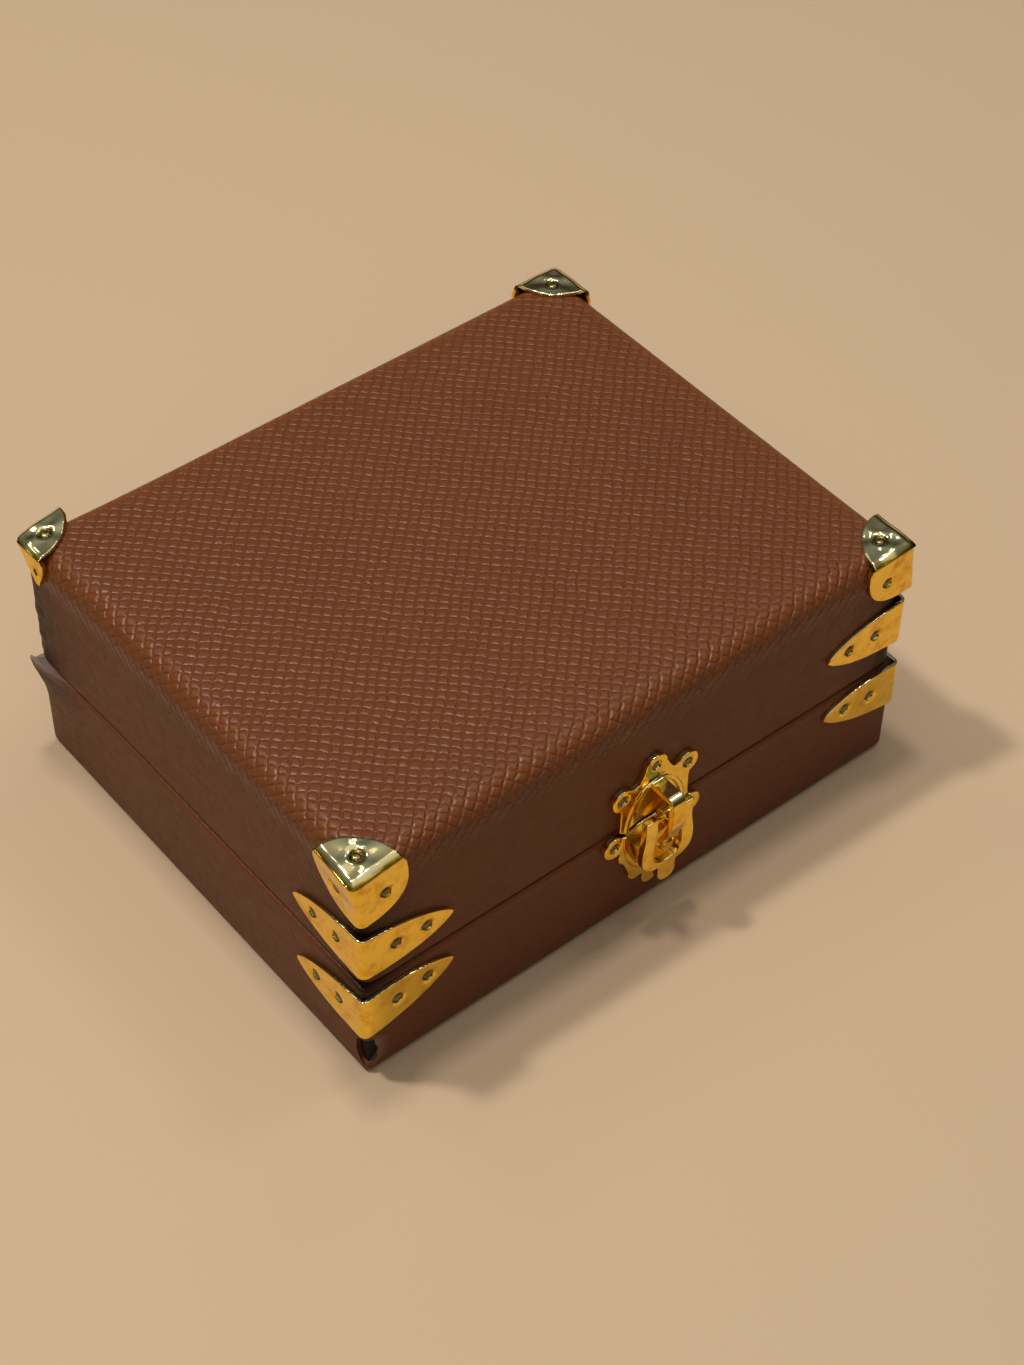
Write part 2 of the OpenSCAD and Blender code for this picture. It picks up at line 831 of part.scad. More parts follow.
module latch_lower_plate() {
    color(GILT) {
        difference() {
            embossed(latch_x + lower_shift, base_front) lower_outline();
            lower_pin_places() pin_cut(plate_t);
        }
        face_front(latch_x, 0, base_front)
            linear_extrude(nose_reach)
                translate([-nose_w / 2, nose_top - nose_h]) square([nose_w, nose_h]);
    }
}

module latch_lower_pins() {
    color(GILT) lower_pin_places() pin();
}

// Outline inside one line of the ring: down from the head, out to the belly, round the foot
module ring_outline(top, head, belly, foot) {
    steps = 8;
    side_fullness = 0.62;
    foot_fullness = 0.8;
    swell = belly - head;
    drop = ring_belly_z - ring_waist_z;
    side = concat(
        [[head, top]],
        [
            for (i = [0:steps])
                [head + swell * (1 - cos(180 * i / steps)) / 2, ring_waist_z + drop * i / steps]
        ],
        [
            for (a = [10:10:80])
                [
                    belly * pow(cos(a), side_fullness),
                    ring_belly_z - (foot + ring_belly_z) * pow(sin(a), foot_fullness)
                ]
        ]
    );
    n = len(side);
    polygon(concat(side, [[0, -foot]], [for (i = [1:n]) [-side[n - i][0], side[n - i][1]]]));
}

module latch_ring() {
    bar_end = ring_head - ring_bar / 2;
    color(GILT)
        translate([latch_x, -lid_front - pivot_reach, pivot_z]) {
            rotate([90, 0, 0])
                linear_extrude(ring_t, center = true) {
                    difference() {
                        ring_outline(ring_top, ring_head, ring_belly, ring_len);
                        ring_outline(
                            past, ring_head - ring_bar, ring_belly - ring_bar,
                            ring_len - ring_foot
                        );
                    }
                    translate([-tab_r, -ring_len - tab_len + tab_r])
                        square([2 * tab_r, tab_len - tab_r + ring_foot / 2]);
                    translate([0, -ring_len - tab_len + tab_r]) circle(tab_r);
                }
            rotate([0, 90, 0]) cylinder(h = 2 * bar_end, r = pivot_r, center = true);
        }
}

// ---------- hinges ----------

// Knuckle of a hinge along X, from x0, with its leaf's root reaching to the face at root_y
module hinge_knuckle(x0, len, up, root_y) {
    root_gap = 0.3;
    root_t = hinge_y - root_y - 0.1;
    translate([x0, hinge_y, seam_z]) rotate([0, 90, 0]) cylinder(h = len, r = hinge_knuckle_r);
    translate([x0, root_y, up > 0 ? seam_z + root_gap : seam_z - hinge_leaf_off - past])
        cube([len, root_t, hinge_leaf_off + past - root_gap]);
}

// Cut for the pin through every knuckle
module hinge_bore() {
    translate([-hinge_w, hinge_y, seam_z])
        rotate([0, 90, 0]) cylinder(h = 2 * hinge_w, r = hinge_pin_r + hinge_gap);
}

module hinge_nail_places(x, up, face) {
    for (side = [-1, 1])
        face_back(x + side * hinge_nail_x, seam_z + up * hinge_nail_z, face + seat(hinge_leaf_t))
            children();
}

// The leaf on the base, with a knuckle at each end
module hinge_base_leaf(x) {
    color(GILT)
        difference() {
            translate([x, 0, 0]) {
                for (x0 = [-hinge_w / 2, hinge_w / 2 - hinge_side])
                    hinge_knuckle(x0, hinge_side, -1, base_front);
                translate([-hinge_w / 2, base_front, seam_z - hinge_leaf_off - hinge_leaf_h])
                    cube([hinge_w, hinge_leaf_t, hinge_leaf_h]);
            }
            translate([x, 0, 0]) hinge_bore();
            hinge_nail_places(x, -1, base_front) pin_cut(hinge_leaf_t);
        }
}

// The leaf on the lid, with one knuckle in the middle
module hinge_lid_leaf(x) {
    color(GILT)
        difference() {
            translate([x, 0, 0]) {
                hinge_knuckle(-hinge_middle / 2, hinge_middle, 1, lid_front);
                translate([-hinge_w / 2, lid_front, seam_z + hinge_leaf_off])
                    cube([hinge_w, hinge_leaf_t, hinge_leaf_h]);
            }
            translate([x, 0, 0]) hinge_bore();
            hinge_nail_places(x, 1, lid_front) pin_cut(hinge_leaf_t);
        }
}

// The pin through a hinge, with a round head at each end
module hinge_pin(x) {
    head_h = 0.4;
    head_r = hinge_knuckle_r - 0.15;
    shank = hinge_w + 2 * hinge_end_gap;
    color(GILT)
        translate([x, hinge_y, seam_z]) rotate([0, 90, 0]) {
            cylinder(h = shank, r = hinge_pin_r, center = true);
            for (side = [-1, 1])
                translate([0, 0, side * (shank + head_h) / 2])
                    cylinder(h = head_h, r = head_r, center = true);
        }
}

module hinge_base_nails() {
    color(GILT)
        for (side = [-1, 1])
            hinge_nail_places(side * hinge_spacing / 2, -1, base_front) pin();
}

module hinge_lid_nails() {
    color(GILT)
        for (side = [-1, 1])
            hinge_nail_places(side * hinge_spacing / 2, 1, lid_front) pin();
}

base_floor_board();
base_long_board(-1);  // base_front_board
base_long_board(1);  // base_back_board
base_end_board(-1);  // base_left_board
base_end_board(1);  // base_right_board
base_leather();
base_felt();
base_lining();
long_divider();
cross_divider();
ring_rolls();
lid_top_board();
lid_long_board(-1);  // lid_front_board
lid_long_board(1);  // lid_back_board
lid_end_board(-1);  // lid_left_board
lid_end_board(1);  // lid_right_board
lid_foam();
lid_leather();
lid_lining();
lid_pad();
corner_cap(-1, -1);  // cap_front_left
corner_cap(1, -1);  // cap_front_right
corner_cap(-1, 1);  // cap_back_left
corner_cap(1, 1);  // cap_back_right
cap_pins();
lid_strap_left();
lid_strap_right();
lid_strap_pins();
base_strap_left();
base_strap_right();
base_strap_pins();
latch_upper_plate();
latch_upper_pins();
latch_lower_plate();
latch_lower_pins();
latch_ring();
hinge_base_leaf(-hinge_spacing / 2);  // hinge_left_base_leaf
hinge_base_leaf(hinge_spacing / 2);  // hinge_right_base_leaf
hinge_lid_leaf(-hinge_spacing / 2);  // hinge_left_lid_leaf
hinge_lid_leaf(hinge_spacing / 2);  // hinge_right_lid_leaf
hinge_pin(-hinge_spacing / 2);  // hinge_left_pin
hinge_pin(hinge_spacing / 2);  // hinge_right_pin
hinge_base_nails();
hinge_lid_nails();
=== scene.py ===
"""Small leather-covered jewellery case: its leather, gilt fittings, linings and cushions."""

import math

import bmesh
import bpy
from bpy.props import FloatProperty, FloatVectorProperty, PointerProperty
from bpy.types import Operator, Panel, PropertyGroup
from mathutils import Matrix, Vector, noise


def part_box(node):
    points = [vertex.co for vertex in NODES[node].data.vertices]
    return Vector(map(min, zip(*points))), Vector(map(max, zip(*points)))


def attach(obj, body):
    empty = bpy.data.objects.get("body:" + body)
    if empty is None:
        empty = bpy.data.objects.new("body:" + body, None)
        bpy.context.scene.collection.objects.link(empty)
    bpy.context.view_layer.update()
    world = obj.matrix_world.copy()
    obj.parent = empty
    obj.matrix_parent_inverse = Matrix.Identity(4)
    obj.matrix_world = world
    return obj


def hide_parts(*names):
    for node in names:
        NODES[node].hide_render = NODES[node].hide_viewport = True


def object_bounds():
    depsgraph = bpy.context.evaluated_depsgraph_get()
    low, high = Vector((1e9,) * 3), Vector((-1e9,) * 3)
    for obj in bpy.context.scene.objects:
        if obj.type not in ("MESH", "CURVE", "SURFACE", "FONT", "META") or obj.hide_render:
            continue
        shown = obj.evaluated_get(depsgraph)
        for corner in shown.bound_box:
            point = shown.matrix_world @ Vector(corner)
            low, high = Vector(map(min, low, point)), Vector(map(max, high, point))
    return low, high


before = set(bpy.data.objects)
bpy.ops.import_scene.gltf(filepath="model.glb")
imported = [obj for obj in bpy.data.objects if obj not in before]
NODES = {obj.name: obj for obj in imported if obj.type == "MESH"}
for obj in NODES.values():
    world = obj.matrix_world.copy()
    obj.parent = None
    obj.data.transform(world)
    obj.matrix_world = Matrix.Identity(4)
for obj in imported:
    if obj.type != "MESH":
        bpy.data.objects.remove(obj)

bl_info = {
    "name": "Jewellery case",
    "version": (1, 0, 0),
    "blender": (4, 5, 0),
    "location": "3D View > Sidebar > Case",
    "description": "Builds a small leather-covered jewellery case with gilt fittings",
    "category": "Add Mesh",
}

MM = 0.001
CAD_BOX = [list(corner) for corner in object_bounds()]

# Places that the frame gives, in metres
LID_LOW, LID_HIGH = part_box("lid_leather")
BASE_LOW, BASE_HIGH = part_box("base_leather")
TRAY_LOW, TRAY_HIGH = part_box("base_lining")
ROOF_LOW, ROOF_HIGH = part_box("lid_lining")
PAD_LOW, PAD_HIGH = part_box("lid_pad")
ROLLS_LOW, ROLLS_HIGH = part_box("ring_rolls")
FELT_LOW, FELT_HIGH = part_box("base_felt")
FOAM_LOW, FOAM_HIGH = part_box("lid_foam")
LID_HALF_W = LID_HIGH.x
LID_HALF_D = LID_HIGH.y
BASE_HALF_W = BASE_HIGH.x
BASE_HALF_D = BASE_HIGH.y
LID_FRONT = LID_LOW.y
BASE_FRONT = BASE_LOW.y


def length(name, default, text, low=0.0, high=1.0):
    """A size that a user may change, in metres."""
    return FloatProperty(
        name=name, description=text, default=default, min=low, max=high,
        unit="LENGTH", precision=5,
    )


def share(name, default, text, low=0.0, high=1.0):
    """A plain number that a user may change."""
    return FloatProperty(name=name, description=text, default=default, min=low, max=high)


def tint(name, default, text):
    """A colour that a user may change."""
    return FloatVectorProperty(
        name=name, description=text, default=default, size=3,
        min=0.0, max=1.0, subtype="COLOR",
    )


class CaseColours(PropertyGroup):
    """Colours of the case's materials."""

    leather: tint("Leather", (0.142, 0.043, 0.0150), "Tops of the leather's grain")
    # The grooves' colour is painted shade, darker than the cells' tops
    groove_shade: tint("Grooves", (0.110, 0.031, 0.0085), "Grooves of the leather's grain")
    rubbed: tint("Rubbed leather", (0.185, 0.058, 0.016), "Leather rubbed along its edges")
    raw: tint("Raw leather", (0.36, 0.27, 0.23), "Cut edges and rubbed-through leather")
    gilt: tint("Gilt", (1.0, 0.645, 0.065), "Polished gilt of the fittings")
    worn: tint("Worn gilt", (0.74, 0.66, 0.36), "Paler gilt where the caps are rubbed")
    pins: tint("Pins", (0.20, 0.165, 0.07), "Duller gilt of the pins")
    lining: tint("Lining", (0.56, 0.44, 0.31), "Suede cloth inside the case")
    felt: tint("Felt", (0.035, 0.03, 0.03), "Felt under the base")
    board: tint("Board", (0.028, 0.025, 0.024), "Black board of both boxes")
    foam: tint("Foam", (0.80, 0.74, 0.58), "Foam under the lid's leather")
    floor: tint("Floor", (0.56, 0.40, 0.255), "Plain floor")


class CaseSizes(PropertyGroup):
    """Sizes of the case's finish."""

    grain_pitch: length("Grain pitch", 1.62 * MM, "Distance between two grooves", 0.5 * MM, 4 * MM)
    row_pitch: length("Row pitch", 1.42 * MM, "Distance between two rows", 0.5 * MM, 4 * MM)
    grain_depth: length("Grain depth", 0.20 * MM, "Depth of the grooves", 0, 0.5 * MM)
    lid_round: length("Lid rounding", 3.6 * MM, "Radius of the lid's edges", 2 * MM, 4 * MM)
    base_round: length("Base rounding", 1 * MM, "Radius of the base's upright edges", 0, 2 * MM)
    leather_t: length("Leather", 0.85 * MM, "Thickness of the leather", 0.4 * MM, 1 * MM)
    rim_w: length("Rim", 3.9 * MM, "Width of the leather rims", 3 * MM, 5 * MM)
    rim_round: length("Rim rounding", 0.6 * MM, "Radius of the rims' outer edges", 0, 1 * MM)
    dome: length("Dome", 0.6 * MM, "Height of the lid's padded top", 0, 0.8 * MM)
    hem_w: length("Hem", 12 * MM, "Width of the leather turned under the base", 5 * MM, 20 * MM)
    metal_cell: length("Metal cell", 0.11 * MM, "Finest detail of the gilt", 0.05 * MM, 0.3 * MM)
    lamp: share("Lamps", 1.0, "Brightness of the lamps", 0.0, 4.0)


# ---------- small helps for the modelling ----------

def colours():
    """The case's colours, as the panel holds them."""
    return bpy.context.scene.case_colours


def sizes():
    """The case's sizes, as the panel holds them."""
    return bpy.context.scene.case_sizes


def clear_selection():
    """Back to object mode with nothing selected."""
    if bpy.context.object and bpy.context.object.mode != "OBJECT":
        bpy.ops.object.mode_set(mode="OBJECT")
    bpy.ops.object.select_all(action="DESELECT")


def only(obj):
    """Select one object and make it active."""
    clear_selection()
    obj.select_set(True)
    bpy.context.view_layer.objects.active = obj
    return obj


def named(name):
    """Give the active object a name and put its place into its mesh."""
    obj = bpy.context.object
    obj.name = name
    obj.data.name = name
    only(obj)
    bpy.ops.object.transform_apply(location=True, rotation=True, scale=True)
    return obj


def edit(obj, kind="FACE"):
    """Edit mode with nothing selected."""
    if bpy.context.object is not obj or obj.mode != "EDIT":
        only(obj)
        bpy.ops.object.mode_set(mode="EDIT")
    bpy.ops.mesh.select_mode(type=kind)
    bpy.ops.mesh.select_all(action="DESELECT")


def pick(obj, kind, test):
    """Select the faces, edges or vertices that pass a test."""
    edit(obj, kind)
    mesh = bmesh.from_edit_mesh(obj.data)
    parts = {"FACE": mesh.faces, "EDGE": mesh.edges, "VERT": mesh.verts}[kind]
    for part in parts:
        if test(part):
            part.select_set(True)
    mesh.select_flush_mode()
    bmesh.update_edit_mesh(obj.data)


def round_edges(obj, test, radius, segments, **more):
    """Bevel the edges that pass a test."""
    pick(obj, "EDGE", test)
    bpy.ops.mesh.bevel(offset=radius, segments=segments, affect="EDGES", **more)


def done(obj):
    """Leave edit mode."""
    if obj.mode == "EDIT":
        bpy.ops.object.mode_set(mode="OBJECT")
    return obj


def modifier(obj, kind, **settings):
    """Add a modifier and apply it."""
    only(obj)
    added = obj.modifiers.new(kind.title(), kind)
    for key, value in settings.items():
        setattr(added, key, value)
    bpy.ops.object.modifier_apply(modifier=added.name)
    return obj


def outward(obj):
    """Turn every face outwards."""
    edit(obj)
    bpy.ops.mesh.select_all(action="SELECT")
    bpy.ops.mesh.normals_make_consistent(inside=False)
    return done(obj)


def tidy(obj, distance=0.02 * MM):
    """Merge points that the cutting left almost on each other."""
    edit(obj, "VERT")
    bpy.ops.mesh.select_all(action="SELECT")
    bpy.ops.mesh.remove_doubles(threshold=distance)
    bpy.ops.mesh.select_all(action="SELECT")
    bpy.ops.mesh.dissolve_degenerate(threshold=distance / 2)
    return done(obj)


def smooth(obj, angle=35):
    """Smooth shading, with edges sharper than an angle kept."""
    only(obj)
    bpy.ops.object.shade_smooth_by_angle(angle=math.radians(angle))
    return obj


def block(name, low, high):
    """A box between two corners, as the start of a piece."""
    clear_selection()
    low = Vector(low)
    high = Vector(high)
    bpy.ops.mesh.primitive_cube_add(size=1, location=(low + high) / 2)
    bpy.context.object.scale = high - low
    return named(name)


def slice_up(obj, axis, low, high, step, ends=0.0, end_step=MM):
    """Cut a mesh through by spaced planes, closer near its ends, so that it can be shaped."""
    normal = [0, 0, 0]
    normal[axis] = 1
    spans = [(low + ends, high - ends, step)]
    if ends:
        spans += [(low, low + ends, end_step), (high - ends, high, end_step)]
    for start, stop, pace in spans:
        count = max(1, round((stop - start) / pace))
        for i in range(0 if ends else 1, count):
            place = [0, 0, 0]
            place[axis] = start + (stop - start) * i / count
            edit(obj)
            bpy.ops.mesh.select_all(action="SELECT")
            bpy.ops.mesh.bisect(plane_co=place, plane_no=normal)
    return done(obj)


def slice_both(obj, low, high, step, **ends):
    """Cut a mesh up across its width and its depth."""
    for axis in (0, 1):
        slice_up(obj, axis, low[axis], high[axis], step, **ends)


def mould(obj, shift):
    """Move each vertex by what shift says for its place."""
    for vertex in obj.data.vertices:
        vertex.co += shift(vertex.co.copy())
    obj.data.update()


def finish_piece(obj, body, material, node):
    """Material and body of a piece, and the solid that it stands for."""
    obj.data.materials.clear()
    obj.data.materials.append(material)
    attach(obj, body)
    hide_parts(node)


def between(value, low, high):
    """0 up to low, 1 from high on, and a soft step between."""
    t = min(1.0, max(0.0, (value - low) / (high - low)))
    return t * t * (3 - 2 * t)


def risen(value, top, start, full):
    """0 up to start short of the top, 1 from full short of it on, and soft between."""
    return between(value, top - start, top - full)


# ---------- materials ----------

class Nodes:
    """A material's node tree, with short ways to add to it."""

    def __init__(self, name):
        known = bpy.data.materials.get(name)
        if known:
            bpy.data.materials.remove(known)
        self.material = bpy.data.materials.new(name)
        self.material.use_nodes = True
        self.tree = self.material.node_tree
        self.tree.nodes.clear()
        self.out = self.add("ShaderNodeOutputMaterial")
        self.shader = self.add("ShaderNodeBsdfPrincipled")
        self.link(self.shader.outputs[0], self.out.inputs["Surface"])

    def add(self, kind, **settings):
        made = self.tree.nodes.new(kind)
        for key, value in settings.items():
            setattr(made, key, value)
        return made

    def link(self, source, target):
        self.tree.links.new(source, target)

    def put(self, socket, value):
        """A number, colour or link into a socket."""
        if isinstance(value, bpy.types.NodeSocket):
            self.link(value, socket)
        else:
            socket.default_value = value

    def maths(self, kind, a, b=0.0, c=0.0):
        made = self.add("ShaderNodeMath", operation=kind)
        for socket, value in zip(made.inputs, (a, b, c)):
            self.put(socket, value)
        return made.outputs[0]

    def place(self):
        return self.add("ShaderNodeTexCoord").outputs["Object"]

    def noise(self, vector, scale, detail=2.0, rough=0.5, kind="Fac"):
        """Noise of a scale, in waves to a metre."""
        made = self.add("ShaderNodeTexNoise")
        for name, value in (
            ("Vector", vector), ("Scale", scale), ("Detail", detail), ("Roughness", rough),
        ):
            self.put(made.inputs[name], value)
        return made.outputs[kind]

    def spread(self, value, low, high, out_low=0.0, out_high=1.0, kind="LINEAR"):
        """A value from low..high brought to out_low..out_high."""
        made = self.add("ShaderNodeMapRange", interpolation_type=kind)
        self.put(made.inputs["Value"], value)
        for name, number in (
            ("From Min", low), ("From Max", high), ("To Min", out_low), ("To Max", out_high),
        ):
            self.put(made.inputs[name], number)
        return made.outputs["Result"]

    def blend(self, share_, first, second):
        """The first colour where the share is 0 and the second where it is 1."""
        made = self.add("ShaderNodeMix", data_type="RGBA")
        self.put(made.inputs[0], share_)
        for socket, value in ((made.inputs[6], first), (made.inputs[7], second)):
            if not isinstance(value, bpy.types.NodeSocket):
                value = (*value, 1.0)
            self.put(socket, value)
        return made.outputs[2]

    def layered(self, colour, *layers):
        """A colour with others laid over it, each a pair of its share and its colour."""
        for share_, over in layers:
            colour = self.blend(share_, colour, over)
        return colour

    def bump(self, height, distance, below=None):
        made = self.add("ShaderNodeBump")
        made.inputs["Distance"].default_value = distance
        self.link(height, made.inputs["Height"])
        if below is not None:
            self.link(below, made.inputs["Normal"])
        return made.outputs["Normal"]

    def attribute(self, name):
        return self.add("ShaderNodeAttribute", attribute_name=name).outputs["Fac"]

    def marked(self, name, value, low, high, out_low, out_high):
        """A share written on the piece, broken up by a value."""
        broken = self.spread(value, low, high, out_low, out_high)
        return self.maths("MULTIPLY", self.attribute(name), broken)

    def set(self, **inputs):
        """Sockets of the shader, by their names with _ for a space."""
        for name, value in inputs.items():
            socket = self.shader.inputs[name.replace("_", " ")]
            if isinstance(value, tuple) and len(value) == 3:
                value = (*value, 1.0)
            self.put(socket, value)


def toned(colour, factor):
    """A colour made lighter or darker, by one factor or by one for each channel."""
    factors = factor if isinstance(factor, tuple) else (factor,) * 3
    return tuple(min(1.0, v * f) for v, f in zip(colour, factors))


GRAIN_TURN = math.radians(45)
# Waves to a metre and reach in cells of the slow and the quick wander of the grooves
GRAIN_WANDER = ((160, 0.7), (900, 0.34))


def grain_places(n, unrolled):
    """How far a point lies across and along the grain, counted in its cells."""
    s = sizes()
    turned_skin = n.add("ShaderNodeMapping")
    n.put(turned_skin.inputs["Vector"], unrolled)
    turned_skin.inputs["Rotation"].default_value = (0, 0, GRAIN_TURN)
    turned_skin.inputs["Scale"].default_value = (1 / s.grain_pitch,) * 3
    place = turned_skin.outputs[0]
    for scale, reach in GRAIN_WANDER:
        moved = n.add("ShaderNodeVectorMath", operation="MULTIPLY_ADD")
        n.put(moved.inputs[0], n.noise(unrolled, scale, 1.0, kind="Color"))
        moved.inputs[1].default_value = (reach, reach, 0)
        n.put(moved.inputs[2], place)
        place = moved.outputs[0]
    parts = n.add("ShaderNodeSeparateXYZ")
    n.put(parts.inputs[0], place)
    return parts.outputs[0], n.maths("MULTIPLY", parts.outputs[1], s.grain_pitch / s.row_pitch)


def cell_dice(n, across, along):
    """A number from 0 to 1, drawn for each cell of the grain."""
    cell = n.add("ShaderNodeCombineXYZ")
    n.put(cell.inputs[0], n.maths("FLOOR", across))
    n.put(cell.inputs[1], n.maths("FLOOR", along))
    dice = n.add("ShaderNodeTexWhiteNoise", noise_dimensions="2D")
    n.put(dice.inputs["Vector"], cell.outputs[0])
    return dice.outputs["Value"]


def leather_material():
    """Embossed leather: two families of slanting grooves over the unrolled skin."""
    n = Nodes("embossed_leather")
    c = colours()
    unrolled = n.add("ShaderNodeUVMap", uv_map="unrolled").outputs[0]
    across, along = grain_places(n, unrolled)
    dice = cell_dice(n, across, along)
    calm = n.attribute("calm")
    pores = n.noise(unrolled, 7000, 3.0, 0.6)
    patches = n.noise(unrolled, 45, 3.0, 0.6)
    from_column = n.maths("PINGPONG", across, 0.5)
    from_row = n.maths("PINGPONG", along, 0.5)
    # Height: each cell is a pillow between grooves, lower where the leather is calm
    column = n.spread(from_column, 0.0, 0.25, kind="SMOOTHSTEP")
    near_row = n.maths("SUBTRACT", 1.0, n.maths("MULTIPLY", from_row, 2.0))
    pillow = n.maths("SUBTRACT", 1.0, n.maths("POWER", near_row, 3.0))
    uneven = n.spread(dice, 0.0, 1.0, 0.5, 1.0)
    uneven = n.maths("MULTIPLY", uneven, n.spread(calm, 0.0, 1.0, 1.0, 0.32))
    height = n.maths("MULTIPLY", n.maths("MULTIPLY", column, pillow), uneven)
    height = n.maths("MULTIPLY_ADD", pores, 0.04, height)
    # Colour: painted shade in the grooves, uneven cells, then wear, painted shade by the upright
    # edges and raw edges over them
    clear = n.maths(
        "MULTIPLY", n.spread(from_column, 0.01, 0.10, kind="SMOOTHSTEP"),
        n.spread(from_row, 0.01, 0.08, kind="SMOOTHSTEP"),
    )
    clear = n.maths("MAXIMUM", clear, n.maths("MULTIPLY", calm, 0.8))
    colour = n.layered(
        # Grooves in painted shade, the cells' tops in the leather's colour
        n.blend(clear, c.groove_shade, c.leather),
        (n.spread(dice, 0.0, 1.0, 0.0, 0.45), toned(c.leather, 1.14)),
        (n.spread(patches, 0.3, 0.7, 0.0, 0.5), toned(c.leather, 0.86)),
        (n.marked("rubbed", pores, 0.3, 0.7, 0.25, 0.6), c.rubbed),
        # Painted shade by the upright edges, beside the straps
        (n.marked("soiled", patches, 0.25, 0.6, 0.6, 1.0), toned(c.leather, 0.10)),
        (n.marked("raw", pores, 0.3, 0.7, 0.55, 1.0), c.raw),
    )
    rough = n.spread(dice, 0.0, 1.0, 0.23, 0.33)
    rough = n.maths("MULTIPLY_ADD", pores, 0.08, rough)
    rough = n.maths("MULTIPLY_ADD", calm, 0.18, rough)
    n.set(
        Base_Color=colour, Roughness=rough, Specular_IOR_Level=0.28,
        Specular_Tint=(1.0, 0.84, 0.76), Normal=n.bump(height, sizes().grain_depth),
    )
    return n.material


SCRATCH_SCALE = (600, 5200, 5200)
SCRATCH_TURN = (0.3, 0.5, 0.2)


def gilt_material(name, colour, rough):
    """Gilt: soft waves, fine scratches and a darker bloom, pale where worn, and a painted dark
    reflection where marked.
    """
    n = Nodes(name)
    place = n.place()
    waves = n.noise(place, 320, 2.0, 0.5)
    bloom = n.noise(place, 420, 5.0, 0.68)
    long_way = n.add("ShaderNodeMapping")
    n.put(long_way.inputs["Vector"], place)
    long_way.inputs["Scale"].default_value = SCRATCH_SCALE
    long_way.inputs["Rotation"].default_value = SCRATCH_TURN
    scratches = n.noise(long_way.outputs[0], 1.0, 3.0, 0.7)
    shade = n.layered(
        colour,
        (n.spread(bloom, 0.46, 0.70), toned(colour, (0.66, 0.50, 0.30))),
        (n.spread(waves, 0.45, 0.7, 0.0, 0.6), toned(colour, (1.0, 1.12, 1.7))),
        (n.marked("worn", waves, 0.3, 0.6, 0.75, 1.0), colours().worn),
        # Painted dark reflection: the band under each cap's fold, darkened in the colour
        (n.marked("dull", bloom, 0.3, 0.6, 0.75, 0.95), toned(colour, 0.09)),
    )
    roughness = n.spread(bloom, 0.35, 0.75, rough, rough + 0.09)
    roughness = n.maths("MULTIPLY_ADD", scratches, 0.05, roughness)
    roughness = n.maths("MULTIPLY_ADD", n.attribute("worn"), -0.03, roughness)
    broad = n.bump(waves, 0.05 * MM)
    fine = n.bump(scratches, 0.004 * MM, broad)
    n.set(Base_Color=shade, Metallic=1.0, Roughness=roughness, Normal=fine)
    return n.material


def suede_material():
    """Short-pile suede cloth, brushed in patches."""
    n = Nodes("suede_cloth")
    base = colours().lining
    place = n.place()
    brushed = n.noise(place, 90, 3.0, 0.6)
    pile = n.noise(place, 5200, 3.0, 0.7)
    dark = toned(base, 0.72)
    colour = n.layered(
        dark, (n.spread(brushed, 0.3, 0.7), toned(base, 1.22)),
        (n.spread(pile, 0.3, 0.7, 0.0, 0.55), dark),
    )
    n.set(
        Base_Color=colour, Roughness=n.spread(pile, 0.2, 0.8, 0.78, 0.98),
        Specular_IOR_Level=0.2, Sheen_Weight=0.5, Sheen_Roughness=0.5,
        Normal=n.bump(n.maths("MULTIPLY_ADD", brushed, 0.6, pile), 0.12 * MM),
    )
    return n.material


def felt_material():
    """Pressed felt with loose fibres."""
    n = Nodes("black_felt")
    base = colours().felt
    place = n.place()
    fibres = n.noise(place, 3000, 5.0, 0.75)
    clumps = n.noise(place, 300, 3.0, 0.6)
    light = tuple(v * 2.4 + 0.01 for v in base)
    colour = n.layered(
        base, (n.spread(fibres, 0.35, 0.7), light),
        (n.spread(clumps, 0.4, 0.7, 0.0, 0.4), base),
    )
    n.set(
        Base_Color=colour, Roughness=n.spread(fibres, 0.2, 0.8, 0.85, 1.0),
        Specular_IOR_Level=0.15, Sheen_Weight=0.4, Sheen_Roughness=0.6,
        Normal=n.bump(fibres, 0.15 * MM),
    )
    return n.material


def board_material():
    """Black board: pressed pulp with flecks and faint layers."""
    n = Nodes("mill_board")
    base = colours().board
    place = n.place()
    pulp = n.noise(place, 1500, 5.0, 0.7)
    layers = n.noise(place, 220, 2.0, 0.5)
    colour = n.layered(
        toned(base, 0.7), (n.spread(pulp, 0.3, 0.7), toned(base, 1.3)),
        (n.spread(layers, 0.4, 0.7, 0.0, 0.5), base),
    )
    n.set(
        Base_Color=colour, Roughness=n.spread(pulp, 0.2, 0.8, 0.8, 0.95),
        Specular_IOR_Level=0.25, Normal=n.bump(pulp, 0.1 * MM),
    )
    return n.material


def foam_material():
    """Open-celled foam, with painted shade in the middle of each pore."""
    n = Nodes("soft_foam")
    base = colours().foam
    cells = n.add("ShaderNodeTexVoronoi")
    n.put(cells.inputs["Vector"], n.place())
    cells.inputs["Scale"].default_value = 2600
    walls = cells.outputs["Distance"]
    n.set(
        # Darker in the middle of each cell: painted shade in the pores
        Base_Color=n.blend(n.spread(walls, 0.1, 0.7), toned(base, 0.6), base),
        Roughness=n.spread(walls, 0, 1, 0.8, 0.95),
        Specular_IOR_Level=0.2, Normal=n.bump(walls, 0.2 * MM),
    )
    return n.material


